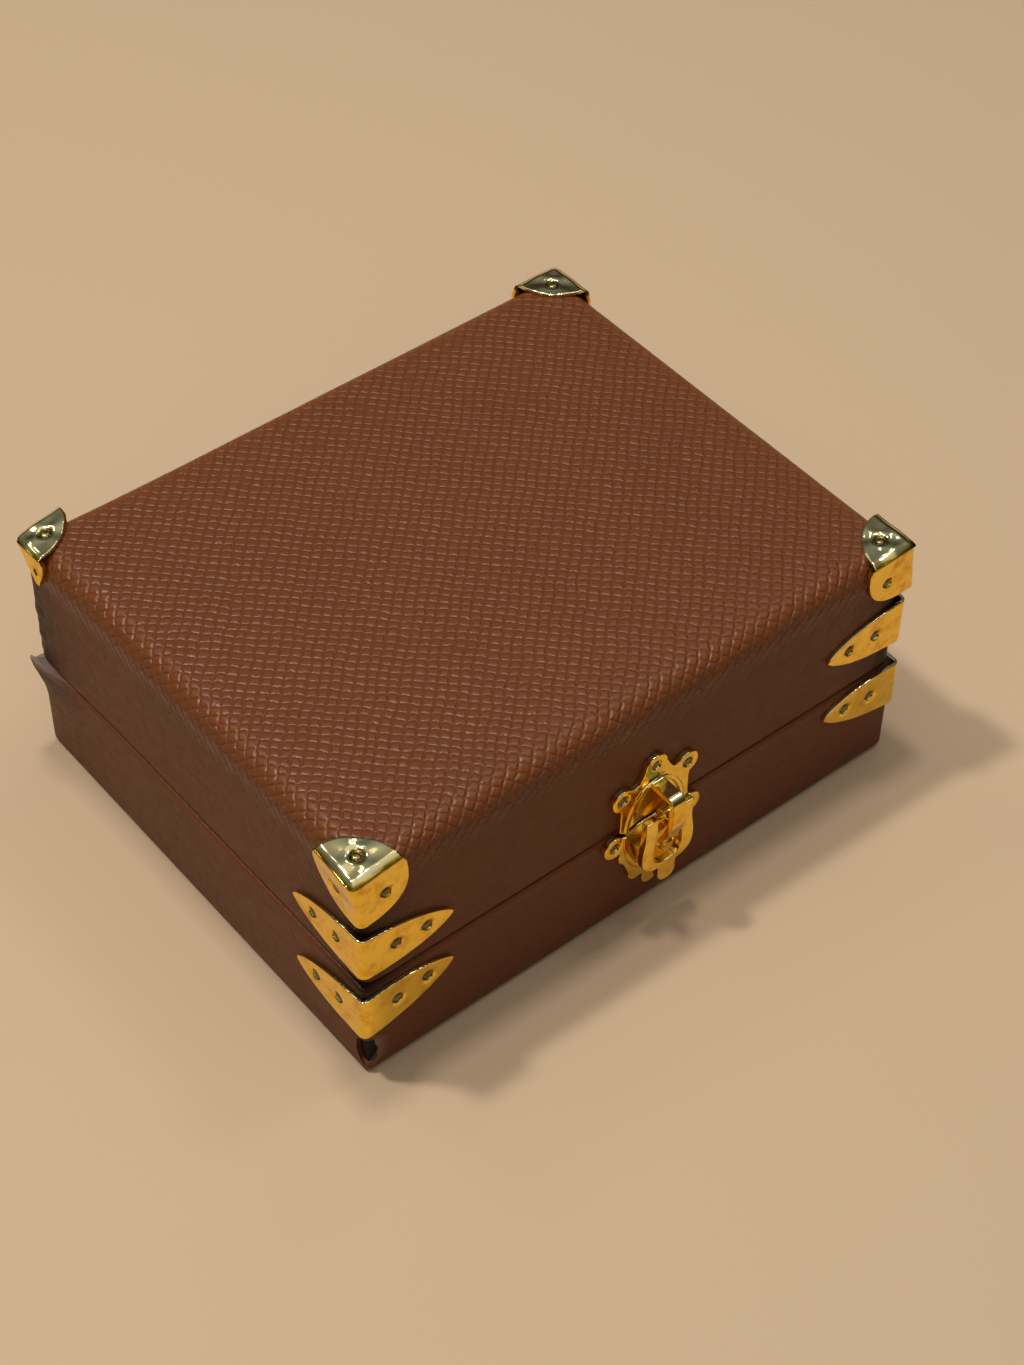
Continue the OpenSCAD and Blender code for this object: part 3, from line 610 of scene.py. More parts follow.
def floor_material():
    """Plain pale floor with a faint unevenness."""
    n = Nodes("pale_floor")
    base = colours().floor
    cloud = n.noise(n.place(), 6, 3.0, 0.5)
    n.set(
        Base_Color=n.blend(n.spread(cloud, 0.3, 0.7, 0.0, 0.25), base, toned(base, 0.94)),
        Roughness=n.spread(cloud, 0.3, 0.7, 0.55, 0.65), Specular_IOR_Level=0.3,
    )
    return n.material


# ---------- leather ----------

# Points this near each other count as lying at one place
CLOSE = 1e-5
# Lean of a face's normal past which it counts as a side, or as level
STEEP = 0.75
LEVEL = 0.95
# How far a cutter runs past the face that it opens
PAST = 1 * MM
FAR_PAST = 5 * MM
# Rounding of the rims' inner edges
MOUTH_ROUND = 0.35 * MM
# Unevenness of the lid's top, in waves to a metre and in height
RIPPLES = 90
RIPPLE_HEIGHT = 0.05 * MM
# The lid's back left corner: how it stands out, in millimetres, and how far that reaches
CORNER_PULL = Vector((-0.6, 0.3, 0.1))
CORNER_REACH = 13 * MM
# How far the painted shade reaches from an upright edge
CORNER_SHADE_REACH = 7 * MM
# The split at the front left foot: half its size, and its place from the box's corner
SPLIT_SIZE = (1.6 * MM, 1.6 * MM, 3.3 * MM)
SPLIT_PLACE = (0.75 * MM, 1.0 * MM, 4.2 * MM)
# The base's rim at the back left: how it flares out and curls up, in millimetres
FLARE_OUT = (-1.9, 0.3)
FLARE_UP = 1.2
# Depths below a skin's top edge at which each of these starts, and is full
DOME_DEPTHS = (6 * MM, 2 * MM)
RIPPLE_DEPTHS = (4 * MM, 0)
FOLD_WEAR_DEPTHS = (3.4 * MM, 1.2 * MM)
FOLD_WEAR_WIDTHS = (3.6 * MM, 1.8 * MM)
GRAIN_DEPTHS = (7 * MM, 3 * MM)
RAW_RIM_DEPTHS = (1.2 * MM, 0.3 * MM)
RIM_WEAR_DEPTHS = (1.4 * MM, 0.3 * MM)
FLARE_DEPTHS = (8 * MM, 0)


def unroll(obj, half_w, half_d, top, radius):
    """Lay the skin out flat from the top: each side hangs from its edge of the top."""
    layer = obj.data.uv_layers.new(name="unrolled")
    corner = Vector((half_w - radius, half_d - radius, top - radius))
    quarter = radius * math.pi / 2

    def fall(out, up):
        """Length of skin from the top's edge down to a point on a side."""
        if up < 0:
            return quarter - up
        return radius * math.atan2(max(out, 0.0), max(up, 1e-9)) if out > 0 else out

    for face in obj.data.polygons:
        centre = face.center
        normal = face.normal
        side = abs(centre.x) - half_w > abs(centre.y) - half_d
        if abs(normal.x) > STEEP:
            side = True
        if abs(normal.y) > STEEP:
            side = False
        for loop in face.loop_indices:
            p = obj.data.vertices[obj.data.loops[loop].vertex_index].co
            up = p.z - corner.z
            if side:
                out = abs(p.x) - corner.x
                u = math.copysign(corner.x + fall(out, up), centre.x)
                v = p.y
            else:
                out = abs(p.y) - corner.y
                u = p.x
                v = math.copysign(corner.y + fall(out, up), centre.y)
            if normal.z > LEVEL:
                u = p.x
                v = p.y
            layer.data[loop].uv = (u, v)


def is_upright(edge, half_w, half_d):
    """An upright edge at a corner of the case."""
    a, b = (v.co for v in edge.verts)
    near = abs(abs(a.x) - half_w) < CLOSE and abs(abs(a.y) - half_d) < CLOSE
    return near and (a - b).xy.length < 1e-6


def at_height(part, z):
    """Every vertex of an edge or face lies at a height."""
    return all(abs(v.co.z - z) < CLOSE for v in part.verts)


DOME_MARGIN = 1.5 * MM
DOME_POWER = 6


def dome_height(x, y):
    """How far the padded top stands above its edges."""
    u = min(1.0, abs(x) / (LID_HALF_W - DOME_MARGIN))
    v = min(1.0, abs(y) / (LID_HALF_D - DOME_MARGIN))
    return sizes().dome * (1 - u ** DOME_POWER) * (1 - v ** DOME_POWER)


def carve(obj, low, high, edge=0.0):
    """Take a block away from a piece; its upright and top edges may be rounded."""
    cutter = block("cutter", low, high)
    if edge:
        round_edges(
            cutter, lambda e: is_upright(e, high[0], high[1]) or at_height(e, high[2]),
            edge, 5, clamp_overlap=False,
        )
        done(cutter)
    modifier(obj, "BOOLEAN", operation="DIFFERENCE", solver="EXACT", object=cutter)
    bpy.data.objects.remove(cutter)


def rim_edge(edge, z):
    """An edge at a height between an upright face and a level one."""
    tilts = {round(abs(f.normal.z)) for f in edge.link_faces}
    return at_height(edge, z) and tilts == {0, 1}


PUCKER_DEPTH = 0.22 * MM
PUCKER_SINK = 0.55
PUCKERS_ROUND = 260
PUCKERS_UP = 620


def pucker(p, half_w, half_d, radius):
    """Small folds, mostly inwards, where the leather is drawn round an upright corner."""
    corner = Vector((math.copysign(half_w - radius, p.x), math.copysign(half_d - radius, p.y)))
    off = p.xy - corner
    if off.x * p.x < -4e-6 or off.y * p.y < -4e-6:
        return Vector((0, 0, 0))
    near = between(off.length, radius - 0.3 * MM, radius)
    wave = Vector((p.x * PUCKERS_ROUND, p.y * PUCKERS_ROUND, p.z * PUCKERS_UP))
    fold = noise.noise(wave) - PUCKER_SINK
    return Vector((*(off.normalized() * fold * PUCKER_DEPTH * near), 0))


TOP_POWER = 3.0
UPRIGHT_POWER = 3.6


def squared(a, b, power):
    """The move from a round edge (power 2) to a squarer one, for offsets from its axis."""
    if a <= 0 or b <= 0:
        return (0.0, 0.0)
    grow = math.hypot(a, b) / (a ** power + b ** power) ** (1 / power) - 1
    return (a * grow, b * grow)


def lid_edges(p, radius):
    """The lid's edges squared by its boards: the top's back and right, and the upright ones."""
    q = p.copy()
    up = LID_HIGH.z - radius
    across = LID_HALF_W - radius
    deep = LID_HALF_D - radius
    b, c = squared(q.y - deep, q.z - up, TOP_POWER)
    q += Vector((0, b, c))
    a, c = squared(q.x - across, q.z - up, TOP_POWER)
    q += Vector((a, 0, c))
    a, b = squared(abs(q.x) - across, abs(q.y) - deep, UPRIGHT_POWER)
    q += Vector((math.copysign(a, q.x), math.copysign(b, q.y), 0))
    return q - p


def write_share(obj, name, value, of="co"):
    """Write a share from 0 to 1 at each point, worked out from its place or its normal."""
    layer = obj.data.attributes.new(name, "FLOAT", "POINT")
    for vertex, item in zip(obj.data.vertices, layer.data):
        item.value = value(getattr(vertex, of))


# The upward share of a face's normal at which rubbing starts, and is full
RUB_TILTS = (0.45, 0.8)


def rub_tops(obj):
    """Mark the upward faces of a fitting, which hands and cloths have rubbed pale."""
    write_share(obj, "worn", lambda normal: between(normal.z, *RUB_TILTS), of="normal")


def foot_wear(z, low):
    """Wear of a skin's lower edge, gone a little above it."""
    return 1 - between(z, low + 0.2 * MM, low + 1.2 * MM)


def lid_leather(material):
    """The lid's skin: a box with rounded edges, a domed top and a turned-in rim."""
    s = sizes()
    low = LID_LOW.z
    high = LID_HIGH.z
    obj = block("lid_leather_skin", LID_LOW, LID_HIGH)
    round_edges(
        obj, lambda e: is_upright(e, LID_HALF_W, LID_HALF_D) or at_height(e, high),
        s.lid_round, 8, clamp_overlap=False,
    )
    round_edges(obj, lambda e: rim_edge(e, low), s.rim_round, 3)
    done(obj)
    t = Vector((s.leather_t, s.leather_t, s.leather_t))
    core = LID_HIGH - t
    carve(obj, (-core.x, -core.y, low + t.z), core, s.lid_round - t.x)
    inner = Vector((LID_HALF_W - s.rim_w, LID_HALF_D - s.rim_w, low + t.z + PAST))
    carve(obj, (-inner.x, -inner.y, low - FAR_PAST), inner)
    round_edges(obj, lambda e: rim_edge(e, low) and all(
        abs(v.co.x) < inner.x + CLOSE and abs(v.co.y) < inner.y + CLOSE for v in e.verts
    ), MOUTH_ROUND, 2)
    slice_both(obj, LID_LOW, LID_HIGH, step=3 * MM, ends=7 * MM, end_step=0.9 * MM)
    slice_up(obj, 2, low + 1 * MM, high, step=0.9 * MM)
    tidy(obj)
    unroll(obj, LID_HALF_W, LID_HALF_D, high, s.lid_round)

    def swell(p):
        lift = dome_height(p.x, p.y) * risen(p.z, high, *DOME_DEPTHS)
        ripple = noise.noise(p * RIPPLES) * RIPPLE_HEIGHT * risen(p.z, high, *RIPPLE_DEPTHS)
        fold = pucker(p, LID_HALF_W, LID_HALF_D, s.lid_round) + corner_pull(p)
        return Vector((0, 0, lift + ripple)) + fold + lid_edges(p, s.lid_round)

    mould(obj, swell)

    def wear(p):
        outward_by = max(abs(p.x) - LID_HALF_W, abs(p.y) - LID_HALF_D)
        edge = risen(p.z, high, *FOLD_WEAR_DEPTHS) * risen(outward_by, 0, *FOLD_WEAR_WIDTHS)
        return max(edge, 0.8 * foot_wear(p.z, low))

    write_share(obj, "rubbed", wear)
    write_share(obj, "calm", lambda p: 1 - risen(p.z, high, *GRAIN_DEPTHS))
    # Painted shade on the lid's leather by its upright edges
    write_share(obj, "soiled", lambda p: paint_corner_shade(p, LID_HALF_W, LID_HALF_D, low, high - 6 * MM))
    smooth(obj)
    finish_piece(obj, "lid", material, "lid_leather")


def corner_pull(p):
    """How the lid's back left corner stands out and up from the true box."""
    far = math.hypot(p.x + LID_HALF_W, p.y - LID_HALF_D)
    return CORNER_PULL * MM * math.exp(-(far / CORNER_REACH) ** 2)


def paint_corner_shade(p, half_w, half_d, low, high):
    """Painted shade darkening the leather at the upright edges, beside the straps."""
    side = math.hypot(half_w - abs(p.x), half_d - abs(p.y))
    band = between(p.z, low, low + 1.5 * MM) * (1 - between(p.z, high - 1.5 * MM, high))
    return band * math.exp(-(side / CORNER_SHADE_REACH) ** 2)


# How far the flared corner reaches along the base's back and along its left side
FLARE_ALONG_BACK = (6 * MM, 1 * MM)
FLARE_ALONG_LEFT = (10 * MM, 1.5 * MM)


def back_left(p):
    """Nearness of a point to the back end of the base's left side, from 0 to 1."""
    beside = risen(-p.x, BASE_HALF_W, *FLARE_ALONG_BACK)
    return beside * risen(p.y, BASE_HALF_D, *FLARE_ALONG_LEFT)


def split_corner(obj, place):
    """Part the leather a little at a foot corner, where its two flaps don't quite meet."""
    clear_selection()
    bpy.ops.mesh.primitive_uv_sphere_add(segments=24, ring_count=16, radius=1, location=place)
    bpy.context.object.scale = SPLIT_SIZE
    cutter = named("cutter")
    mould(cutter, lambda p: (p - place).normalized() * noise.noise(p * 900) * 0.35 * MM)
    modifier(obj, "BOOLEAN", operation="DIFFERENCE", solver="EXACT", object=cutter)
    bpy.data.objects.remove(cutter)
    tidy(obj, 0.01 * MM)


def base_leather(material):
    """The base's skin: straight sides, a turned-in rim and a hem under the base."""
    s = sizes()
    low = BASE_LOW.z
    high = BASE_HIGH.z
    half = Vector((BASE_HALF_W, BASE_HALF_D))
    obj = block("base_leather_skin", BASE_LOW, BASE_HIGH)
    round_edges(obj, lambda e: is_upright(e, half.x, half.y), s.base_round, 4)
    round_edges(obj, lambda e: rim_edge(e, low) or rim_edge(e, high), s.rim_round, 3)
    done(obj)
    t = Vector((s.leather_t, s.leather_t, s.leather_t))
    core = BASE_HIGH - t
    carve(obj, (-core.x, -core.y, low + t.z), core)
    inner = Vector((half.x - s.rim_w, half.y - s.rim_w, high + FAR_PAST))
    carve(obj, (-inner.x, -inner.y, high - t.z - PAST), inner)
    hem = Vector((half.x - s.hem_w, half.y - s.hem_w, low + t.z + PAST))
    carve(obj, (-hem.x, -hem.y, low - FAR_PAST), hem)
    round_edges(obj, lambda e: rim_edge(e, high), MOUTH_ROUND, 2)
    slice_both(obj, -half, half, step=4 * MM)
    slice_up(obj, 2, low, high, step=2 * MM)
    tidy(obj)
    split = Vector([at + off for at, off in zip((-half.x, -half.y, low), SPLIT_PLACE)])
    split_corner(obj, split)
    unroll(obj, half.x, half.y, high, s.rim_round)

    def raw(p):
        off = p - split
        hole = 1 - between(math.hypot(off.x, off.y, off.z * 0.5), 1.4 * MM, 1.9 * MM)
        right = between(p.x, split.x, split.x + 0.8 * MM)
        return max(0.8 * hole * right, risen(p.z, high, *RAW_RIM_DEPTHS) * back_left(p))

    write_share(obj, "raw", raw)

    def flare(p):
        out = back_left(p) * risen(p.z, high, *FLARE_DEPTHS)
        skin = between(-p.x, half.x - 1.0 * MM, half.x - 0.4 * MM)
        return Vector((*FLARE_OUT, FLARE_UP * skin)) * MM * out

    mould(obj, flare)

    write_share(obj, "rubbed", lambda p: max(
        risen(p.z, high, *RIM_WEAR_DEPTHS), 0.7 * foot_wear(p.z, low)
    ))
    write_share(obj, "calm", lambda p: 1.0)
    # Painted shade on the base's leather by its upright edges
    write_share(obj, "soiled", lambda p: paint_corner_shade(p, half.x, half.y, high - 7 * MM, high + 2 * MM))
    smooth(obj)
    finish_piece(obj, "base", material, "base_leather")


class CASE_OT_leather(Operator):
    """Cover the lid and the base with embossed leather"""

    bl_idname = "case.leather"
    bl_label = "Leather"

    def execute(self, context):
        material = leather_material()
        lid_leather(material)
        base_leather(material)
        return {"FINISHED"}


# ---------- boards, foam and felt ----------

def foam_sheet():
    """The lid's foam: a sheet with rounded edges, domed as the leather over it."""
    foam = block("lid_foam_sheet", FOAM_LOW, FOAM_HIGH)
    round_edges(
        foam, lambda e: is_upright(e, FOAM_HIGH.x, FOAM_HIGH.y), radius=2.5 * MM, segments=4
    )
    round_edges(foam, lambda e: at_height(e, FOAM_HIGH.z), radius=0.9 * MM, segments=3)
    slice_both(foam, FOAM_LOW, FOAM_HIGH, step=6 * MM)
    mould(foam, lambda p: Vector((
        0, 0, dome_height(p.x, p.y) * between(p.z, FOAM_LOW.z, FOAM_HIGH.z)
    )))
    smooth(foam)
    finish_piece(foam, "lid", foam_material(), "lid_foam")


def felt_sheet():
    """The felt glued under the base, with rounded corners and a soft lower edge."""
    felt = block("base_felt_sheet", FELT_LOW, FELT_HIGH)
    round_edges(
        felt, lambda e: is_upright(e, FELT_HIGH.x, FELT_HIGH.y), radius=1.5 * MM, segments=4
    )
    round_edges(felt, lambda e: at_height(e, FELT_LOW.z), radius=0.15 * MM, segments=2)
    slice_both(felt, FELT_LOW, FELT_HIGH, step=8 * MM)
    smooth(felt)
    finish_piece(felt, "base", felt_material(), "base_felt")


class CASE_OT_boards(Operator):
    """Finish the boards, and make the lid's foam and the felt under the base"""

    bl_idname = "case.boards"
    bl_label = "Boards"

    def execute(self, context):
        board = board_material()
        for name, node in NODES.items():
            if name.endswith("_board"):
                node.data.materials.clear()
                node.data.materials.append(board)
        foam_sheet()
        felt_sheet()
        return {"FINISHED"}


# ---------- linings and cushions ----------

def open_box(name, low, high, wall, up):
    """A lining: a box open at one end, with a wall and soft edges."""
    obj = block(name, low, high)
    mouth = high.z if up else low.z
    pick(obj, "FACE", lambda f: at_height(f, mouth))
    bpy.ops.mesh.delete(type="FACE")
    slice_both(obj, low, high, step=6 * MM)
    modifier(obj, "SOLIDIFY", thickness=wall, offset=-1, use_even_offset=True)
    modifier(
        obj, "BEVEL", width=0.3 * MM, segments=3, limit_method="ANGLE",
        angle_limit=math.radians(50),
    )
    return smooth(obj, 50)


def divider(name, low, high):
    """A covered card with a rounded upper edge."""
    obj = block(name, low, high)
    round_edges(obj, lambda e: at_height(e, high.z), radius=0.7 * MM, segments=4)
    longest = 0 if high.x - low.x > high.y - low.y else 1
    slice_up(obj, longest, low[longest], high[longest], step=3 * MM)
    return smooth(done(obj), 50)


# The cushions are blown up at ten times their size, at which cloth behaves better
GROW = 10.0
CLOTH_STEPS = 20


def blow_up(obj, pressure):
    """Let a closed form swell as cloth under pressure, with no gravity."""
    only(obj)
    cloth = obj.modifiers.new("Cloth", "CLOTH")
    cloth.settings.quality = 6
    cloth.settings.mass = 0.3
    cloth.settings.use_pressure = True
    cloth.settings.uniform_pressure_force = pressure
    cloth.settings.effector_weights.gravity = 0
    cloth.point_cache.frame_start = 1
    cloth.point_cache.frame_end = CLOTH_STEPS
    for number in range(1, CLOTH_STEPS + 1):
        bpy.context.scene.frame_set(number)
    bpy.ops.object.modifier_apply(modifier=cloth.name)
    bpy.context.scene.frame_set(1)


def cushion(name, low, high, edge, cell, cap, pressure, flat):
    """A stuffed form: a rounded block swollen by up to cap, flat "below" or "above"."""
    obj = block(name, low * GROW, high * GROW)
    round_edges(obj, lambda e: True, radius=edge * GROW, segments=4)
    done(obj)
    modifier(obj, "REMESH", mode="VOXEL", voxel_size=cell * GROW)
    rest = [v.co.copy() for v in obj.data.vertices]
    most = cap * GROW
    middle = (low + high) * GROW / 2
    blow_up(obj, pressure)
    for vertex, start in zip(obj.data.vertices, rest):
        move = vertex.co - start
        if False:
            move = (start - middle).normalized() * most * 0.5
        elif move.length > most:
            move *= most / move.length
        vertex.co = start + move
        if flat == "below":
            vertex.co.z = max(vertex.co.z, low.z * GROW)
        if flat == "above":
            vertex.co.z = min(vertex.co.z, high.z * GROW)
    obj.data.transform(Matrix.Scale(1 / GROW, 4))
    modifier(obj, "SUBSURF", levels=1, render_levels=1)
    return smooth(obj, 60)


LINING_WALL = 0.8 * MM
# The ring rolls and the lid's pad start this much smaller than their room, and swell into it
ROLL_COUNT = 5
ROLL_GAP = Vector((0.5, 0.5, 0)) * MM
ROLL_TOP_GAP = 0.6 * MM
PAD_SIDE_GAP = Vector((0.7, 0.7, 0)) * MM
PAD_LOW_GAP = Vector((0.7, 0.7, 0.5)) * MM


class CASE_OT_linings(Operator):
    """Line both boxes and make the dividers, the ring rolls and the lid's pad"""

    bl_idname = "case.linings"
    bl_label = "Linings and cushions"

    def execute(self, context):
        suede = suede_material()
        tray = open_box("base_lining_cloth", TRAY_LOW, TRAY_HIGH, LINING_WALL, up=True)
        finish_piece(tray, "base", suede, "base_lining")
        roof = open_box("lid_lining_cloth", ROOF_LOW, ROOF_HIGH, LINING_WALL, up=False)
        finish_piece(roof, "lid", suede, "lid_lining")
        for node in ("long_divider", "cross_divider"):
            low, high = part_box(node)
            card = divider(node + "_card", low, high)
            finish_piece(card, "base", suede, node)
        pitch = (ROLLS_HIGH.y - ROLLS_LOW.y) / ROLL_COUNT
        low = Vector((ROLLS_LOW.x, ROLLS_LOW.y, ROLLS_LOW.z)) + ROLL_GAP
        high = Vector((ROLLS_HIGH.x, ROLLS_LOW.y + pitch, ROLLS_HIGH.z)) - ROLL_GAP
        high.z -= ROLL_TOP_GAP
        first = cushion(
            "ring_roll_1", low, high, edge=2.6 * MM, cell=0.9 * MM, cap=0.7 * MM,
            pressure=4.0, flat="below",
        )
        rolls = [first]
        for i in range(1, ROLL_COUNT):
            roll = first.copy()
            roll.data = first.data.copy()
            roll.name = f"ring_roll_{i + 1}"
            context.scene.collection.objects.link(roll)
            roll.data.transform(Matrix.Translation((0, pitch * i, 0)))
            rolls.append(roll)
        for roll in rolls:
            finish_piece(roll, "base", suede, "ring_rolls")
        pad = cushion(
            "lid_pad_cushion", PAD_LOW + PAD_LOW_GAP, PAD_HIGH - PAD_SIDE_GAP,
            edge=1.0 * MM, cell=1.1 * MM, cap=0.8 * MM, pressure=2.5, flat="above",
        )
        finish_piece(pad, "lid", suede, "lid_pad")
        return {"FINISHED"}


# ---------- gilt fittings ----------

def copy_of(node, name):
    """A merged copy of a solid, free of the frame, as the start of a piece."""
    clear_selection()
    source = NODES[node]
    obj = source.copy()
    obj.data = source.data.copy()
    obj.parent = None
    obj.name = name
    obj.data.name = name
    for key in list(obj.keys()):
        if key.startswith("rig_"):
            del obj[key]
    bpy.context.scene.collection.objects.link(obj)
    return tidy(obj, 1e-6)


def tumbled(node, rounds, fineness=1.0):
    """A gilt solid's copy, remeshed finely, its edges worn round as by tumbling."""
    obj = copy_of(node, "gilt_" + node)
    modifier(obj, "REMESH", mode="VOXEL", voxel_size=sizes().metal_cell * fineness)
    modifier(obj, "SMOOTH", factor=0.5, iterations=rounds)
    only(obj)
    bpy.ops.object.shade_smooth()
    return obj


def finish_gilt(obj, body, node):
    """Polished gilt and body of a fitting, and the solid that it stands for."""
    finish_piece(obj, body, bpy.data.materials["polished_gilt"], node)


def pin_places(node):
    """The top of each pin's head in a solid, with the way that it points."""
    obj = copy_of(node, "pins_read")
    mesh = bmesh.new()
    mesh.from_mesh(obj.data)
    left = set(mesh.verts)
    places = []
    while left:
        group = set()
        queue = [next(iter(left))]
        while queue:
            vertex = queue.pop()
            if vertex in group:
                continue
            group.add(vertex)
            queue += [edge.other_vert(vertex) for edge in vertex.link_edges]
        left -= group
        low = Vector([min(v.co[i] for v in group) for i in range(3)])
        high = Vector([max(v.co[i] for v in group) for i in range(3)])
        # A pin is longest along its own axis, and its head is on the outside
        size = high - low
        axis = max(range(3), key=lambda i: size[i])
        middle = (low + high) / 2
        out = Vector((0, 0, 0))
        out[axis] = math.copysign(1, middle[axis])
        places.append((middle + out * size[axis] / 2, out))
    mesh.free()
    bpy.data.objects.remove(obj)
    return sorted(places, key=lambda item: tuple(round(v, 5) for v in item[0]))


# How far along a pin from its head the plate that it holds may lie
PLATE_DEPTH = 1.5 * MM


def dent(places, depth, reach):
    """A shift that sinks metal round its pins."""
    def shift(p):
        move = Vector((0, 0, 0))
        for place, out in places:
            off = p - place
            away = off.dot(out)
            if abs(away) < PLATE_DEPTH:
                side = (off - out * away).length
                move -= out * depth * math.exp(-(side / reach) ** 4)
        return move
    return shift


# Number of creases round a pin, how much of them sinks, and where they start and fade out
CREASES = 4
CREASE_SINK = 0.4
CREASE_START = (0.8 * MM, 2.4 * MM)
CREASE_END = (4 * MM, 6.5 * MM)


def star(place, out, height):
    """A shift that raises soft creases from a pin outwards, as in pressed metal."""
    def shift(p):
        off = p - place
        if abs(off.dot(out)) > 1 * MM:
            return Vector((0, 0, 0))
        far = off.xy.length
        ring = between(far, *CREASE_START) * (1 - between(far, *CREASE_END))
        angle = math.atan2(off.y, off.x)
        return out * height * ring * (math.cos(CREASES * angle) - CREASE_SINK)
    return shift


PIN_SEGMENTS = 16


def turned(name, profile):
    """A small turned piece: a disc pulled up and resized along its outline."""
    clear_selection()
    first, start = profile[0]
    bpy.ops.mesh.primitive_circle_add(
        vertices=PIN_SEGMENTS, radius=first, location=(0, 0, start), fill_type="NGON"
    )
    obj = named(name)
    edit(obj)
    bpy.ops.mesh.select_all(action="SELECT")
    for (wide, height), (wide_2, height_2) in zip(profile, profile[1:]):
        bpy.ops.mesh.extrude_region_move(
            TRANSFORM_OT_translate={"value": (0, 0, height_2 - height)}
        )
        ratio = wide_2 / wide
        bpy.ops.transform.resize(value=(ratio, ratio, 1), center_override=(0, 0, height_2))
    done(obj)
    return outward(obj)


# Radius and height of a pin's outline from its point to its head, in millimetres
PIN_OUTLINE = [
    (0.10, -2.9), (0.38, -2.5), (0.38, -0.36), (0.72, -0.34), (0.80, -0.26),
    (0.80, -0.16), (0.73, -0.05), (0.56, 0.06), (0.32, 0.12), (0.07, 0.14),
]
# How far pins lean from true, in radians, and how the two leans step from pin to pin
LEAN = 0.09
LEAN_STEPS = (5.1, 3.7)


def set_of_pins(node, body, places, sink, turn=0.0):
    """All the pins of a node, each a copy of one turned pin, sunk a little and leaning."""
    pin = turned("pin", [(r * MM, z * MM) for r, z in PIN_OUTLINE])
    whole = bmesh.new()
    for i, (place, out) in enumerate(places):
        aim = out.to_track_quat("Z", "Y").to_matrix().to_4x4()
        lean = Matrix.Rotation(LEAN * math.sin(LEAN_STEPS[0] * i + turn), 4, "X")
        lean = lean @ Matrix.Rotation(LEAN * math.cos(LEAN_STEPS[1] * i + turn), 4, "Y")
        mesh = pin.data.copy()
        mesh.transform(Matrix.Translation(place - out * sink) @ aim @ lean)
        whole.from_mesh(mesh)
        bpy.data.meshes.remove(mesh)
    bpy.data.objects.remove(pin)
    mesh = bpy.data.meshes.new("gilt_" + node)
    whole.to_mesh(mesh)
    whole.free()
    obj = bpy.data.objects.new("gilt_" + node, mesh)
    bpy.context.scene.collection.objects.link(obj)
    smooth(obj, 50)
    finish_piece(obj, body, bpy.data.materials["aged_gilt"], node)


def fold_round(low, high, radius):
    """A shift that rounds the outer edges where a cap's top plate folds down."""
    def shift(p):
        drop = high.z - p.z
        move = Vector((0, 0, 0))
        for i in (0, 1):
            edge = high[i] if high[i] > 0 and low[i] > 0 else low[i]
            inward = abs(edge) - abs(p[i])
            a = radius - drop
            b = radius - inward
            if a > 0 and b > 0:
                shrink = max(a, b) / math.hypot(a, b) - 1
                move.z += a * shrink
                move[i] += math.copysign(b * shrink, p[i])
        return move
    return shift


# How much of a flange's skin is blended into the bend of its top
FLANGE_BLEND = 0.3 * MM
# The front left cap: how its corner is knocked in, in millimetres, how far that reaches,
# how far its top leans out, and over which depth the lean ends
KNOCK = Vector((-0.2, -0.20, -0.75))
KNOCK_REACH = 5 * MM
LEAN_OUT = 1.0 * MM
LEAN_DEPTH = 9 * MM
# The front right cap: how much of its depth a flange is short and stands open, and how far
# its top sinks inwards, and over which width
SHORT = 0.10
SINK = 0.25 * MM
SINK_WIDTH = 8 * MM
# The back left cap: how much it opens to the back, how far along that reaches, how much
# its flanges narrow near the corner, and how much the side one curls up
OPEN_BACK = 0.20
OPEN_ALONG = 0.10
OPEN_REACH = 11 * MM
NARROW = 0.42
NARROW_REACH = 9 * MM
CURL = 0.45
# The back right cap: how far its side and its end flange stand open
SIDE_OPEN = 0.03
END_OPEN = 0.04


def cap_parts(p):
    """A cap point's depth below the top, and how far it is in the side and the end flange."""
    drop = CAD_BOX[1][2] - p.z
    side = between(abs(p.x), LID_HALF_W - FLANGE_BLEND, LID_HALF_W)
    end = between(abs(p.y), LID_HALF_D - FLANGE_BLEND, LID_HALF_D)
    return drop, side, end


def bend_front_left(p):
    """Its corner is knocked down, and its top leans out to the left."""
    drop = cap_parts(p)[0]
    far = math.hypot(p.x + LID_HALF_W, p.y + LID_HALF_D, 0.6 * drop)
    near = math.exp(-(far / KNOCK_REACH) ** 2)
    lean = -LEAN_OUT * (1 - between(drop, 0, LEAN_DEPTH))
    return KNOCK * MM * near + Vector((lean, 0, 0))


def bend_front_right(p):
    """Its flanges are short, the side one stands open, and its top sinks inwards."""
    drop, side, end = cap_parts(p)
    lift = SHORT * drop * max(end, side)
    inward = between(LID_HALF_W - abs(p.x), 0, SINK_WIDTH)
    return Vector((side * SHORT * drop, 0, lift - SINK * inward * (1 - side)))


def bend_back_left(p):
    """It follows the lid's pulled corner, opened towards the back, its flanges narrowed."""
    drop, side, end = cap_parts(p)
    along = p.x + LID_HALF_W
    back = LID_HALF_D - p.y
    near = 1 - between(back, 0, OPEN_REACH)
    open_out = Vector((0, OPEN_BACK * back, 0))
    open_out += Vector((0, OPEN_ALONG, OPEN_ALONG)) * along * near
    narrow = NARROW * drop * (1 - between(back, 0, NARROW_REACH)) * side
    under = NARROW * drop * (1 - between(along, 0, NARROW_REACH)) * end
    return corner_pull(p) + open_out + Vector((under, -narrow, CURL * drop * side))


def bend_back_right(p):
    """Both its flanges stand a little open."""
    drop, side, end = cap_parts(p)
    return Vector((side * SIDE_OPEN * drop, end * END_OPEN * drop, 0))


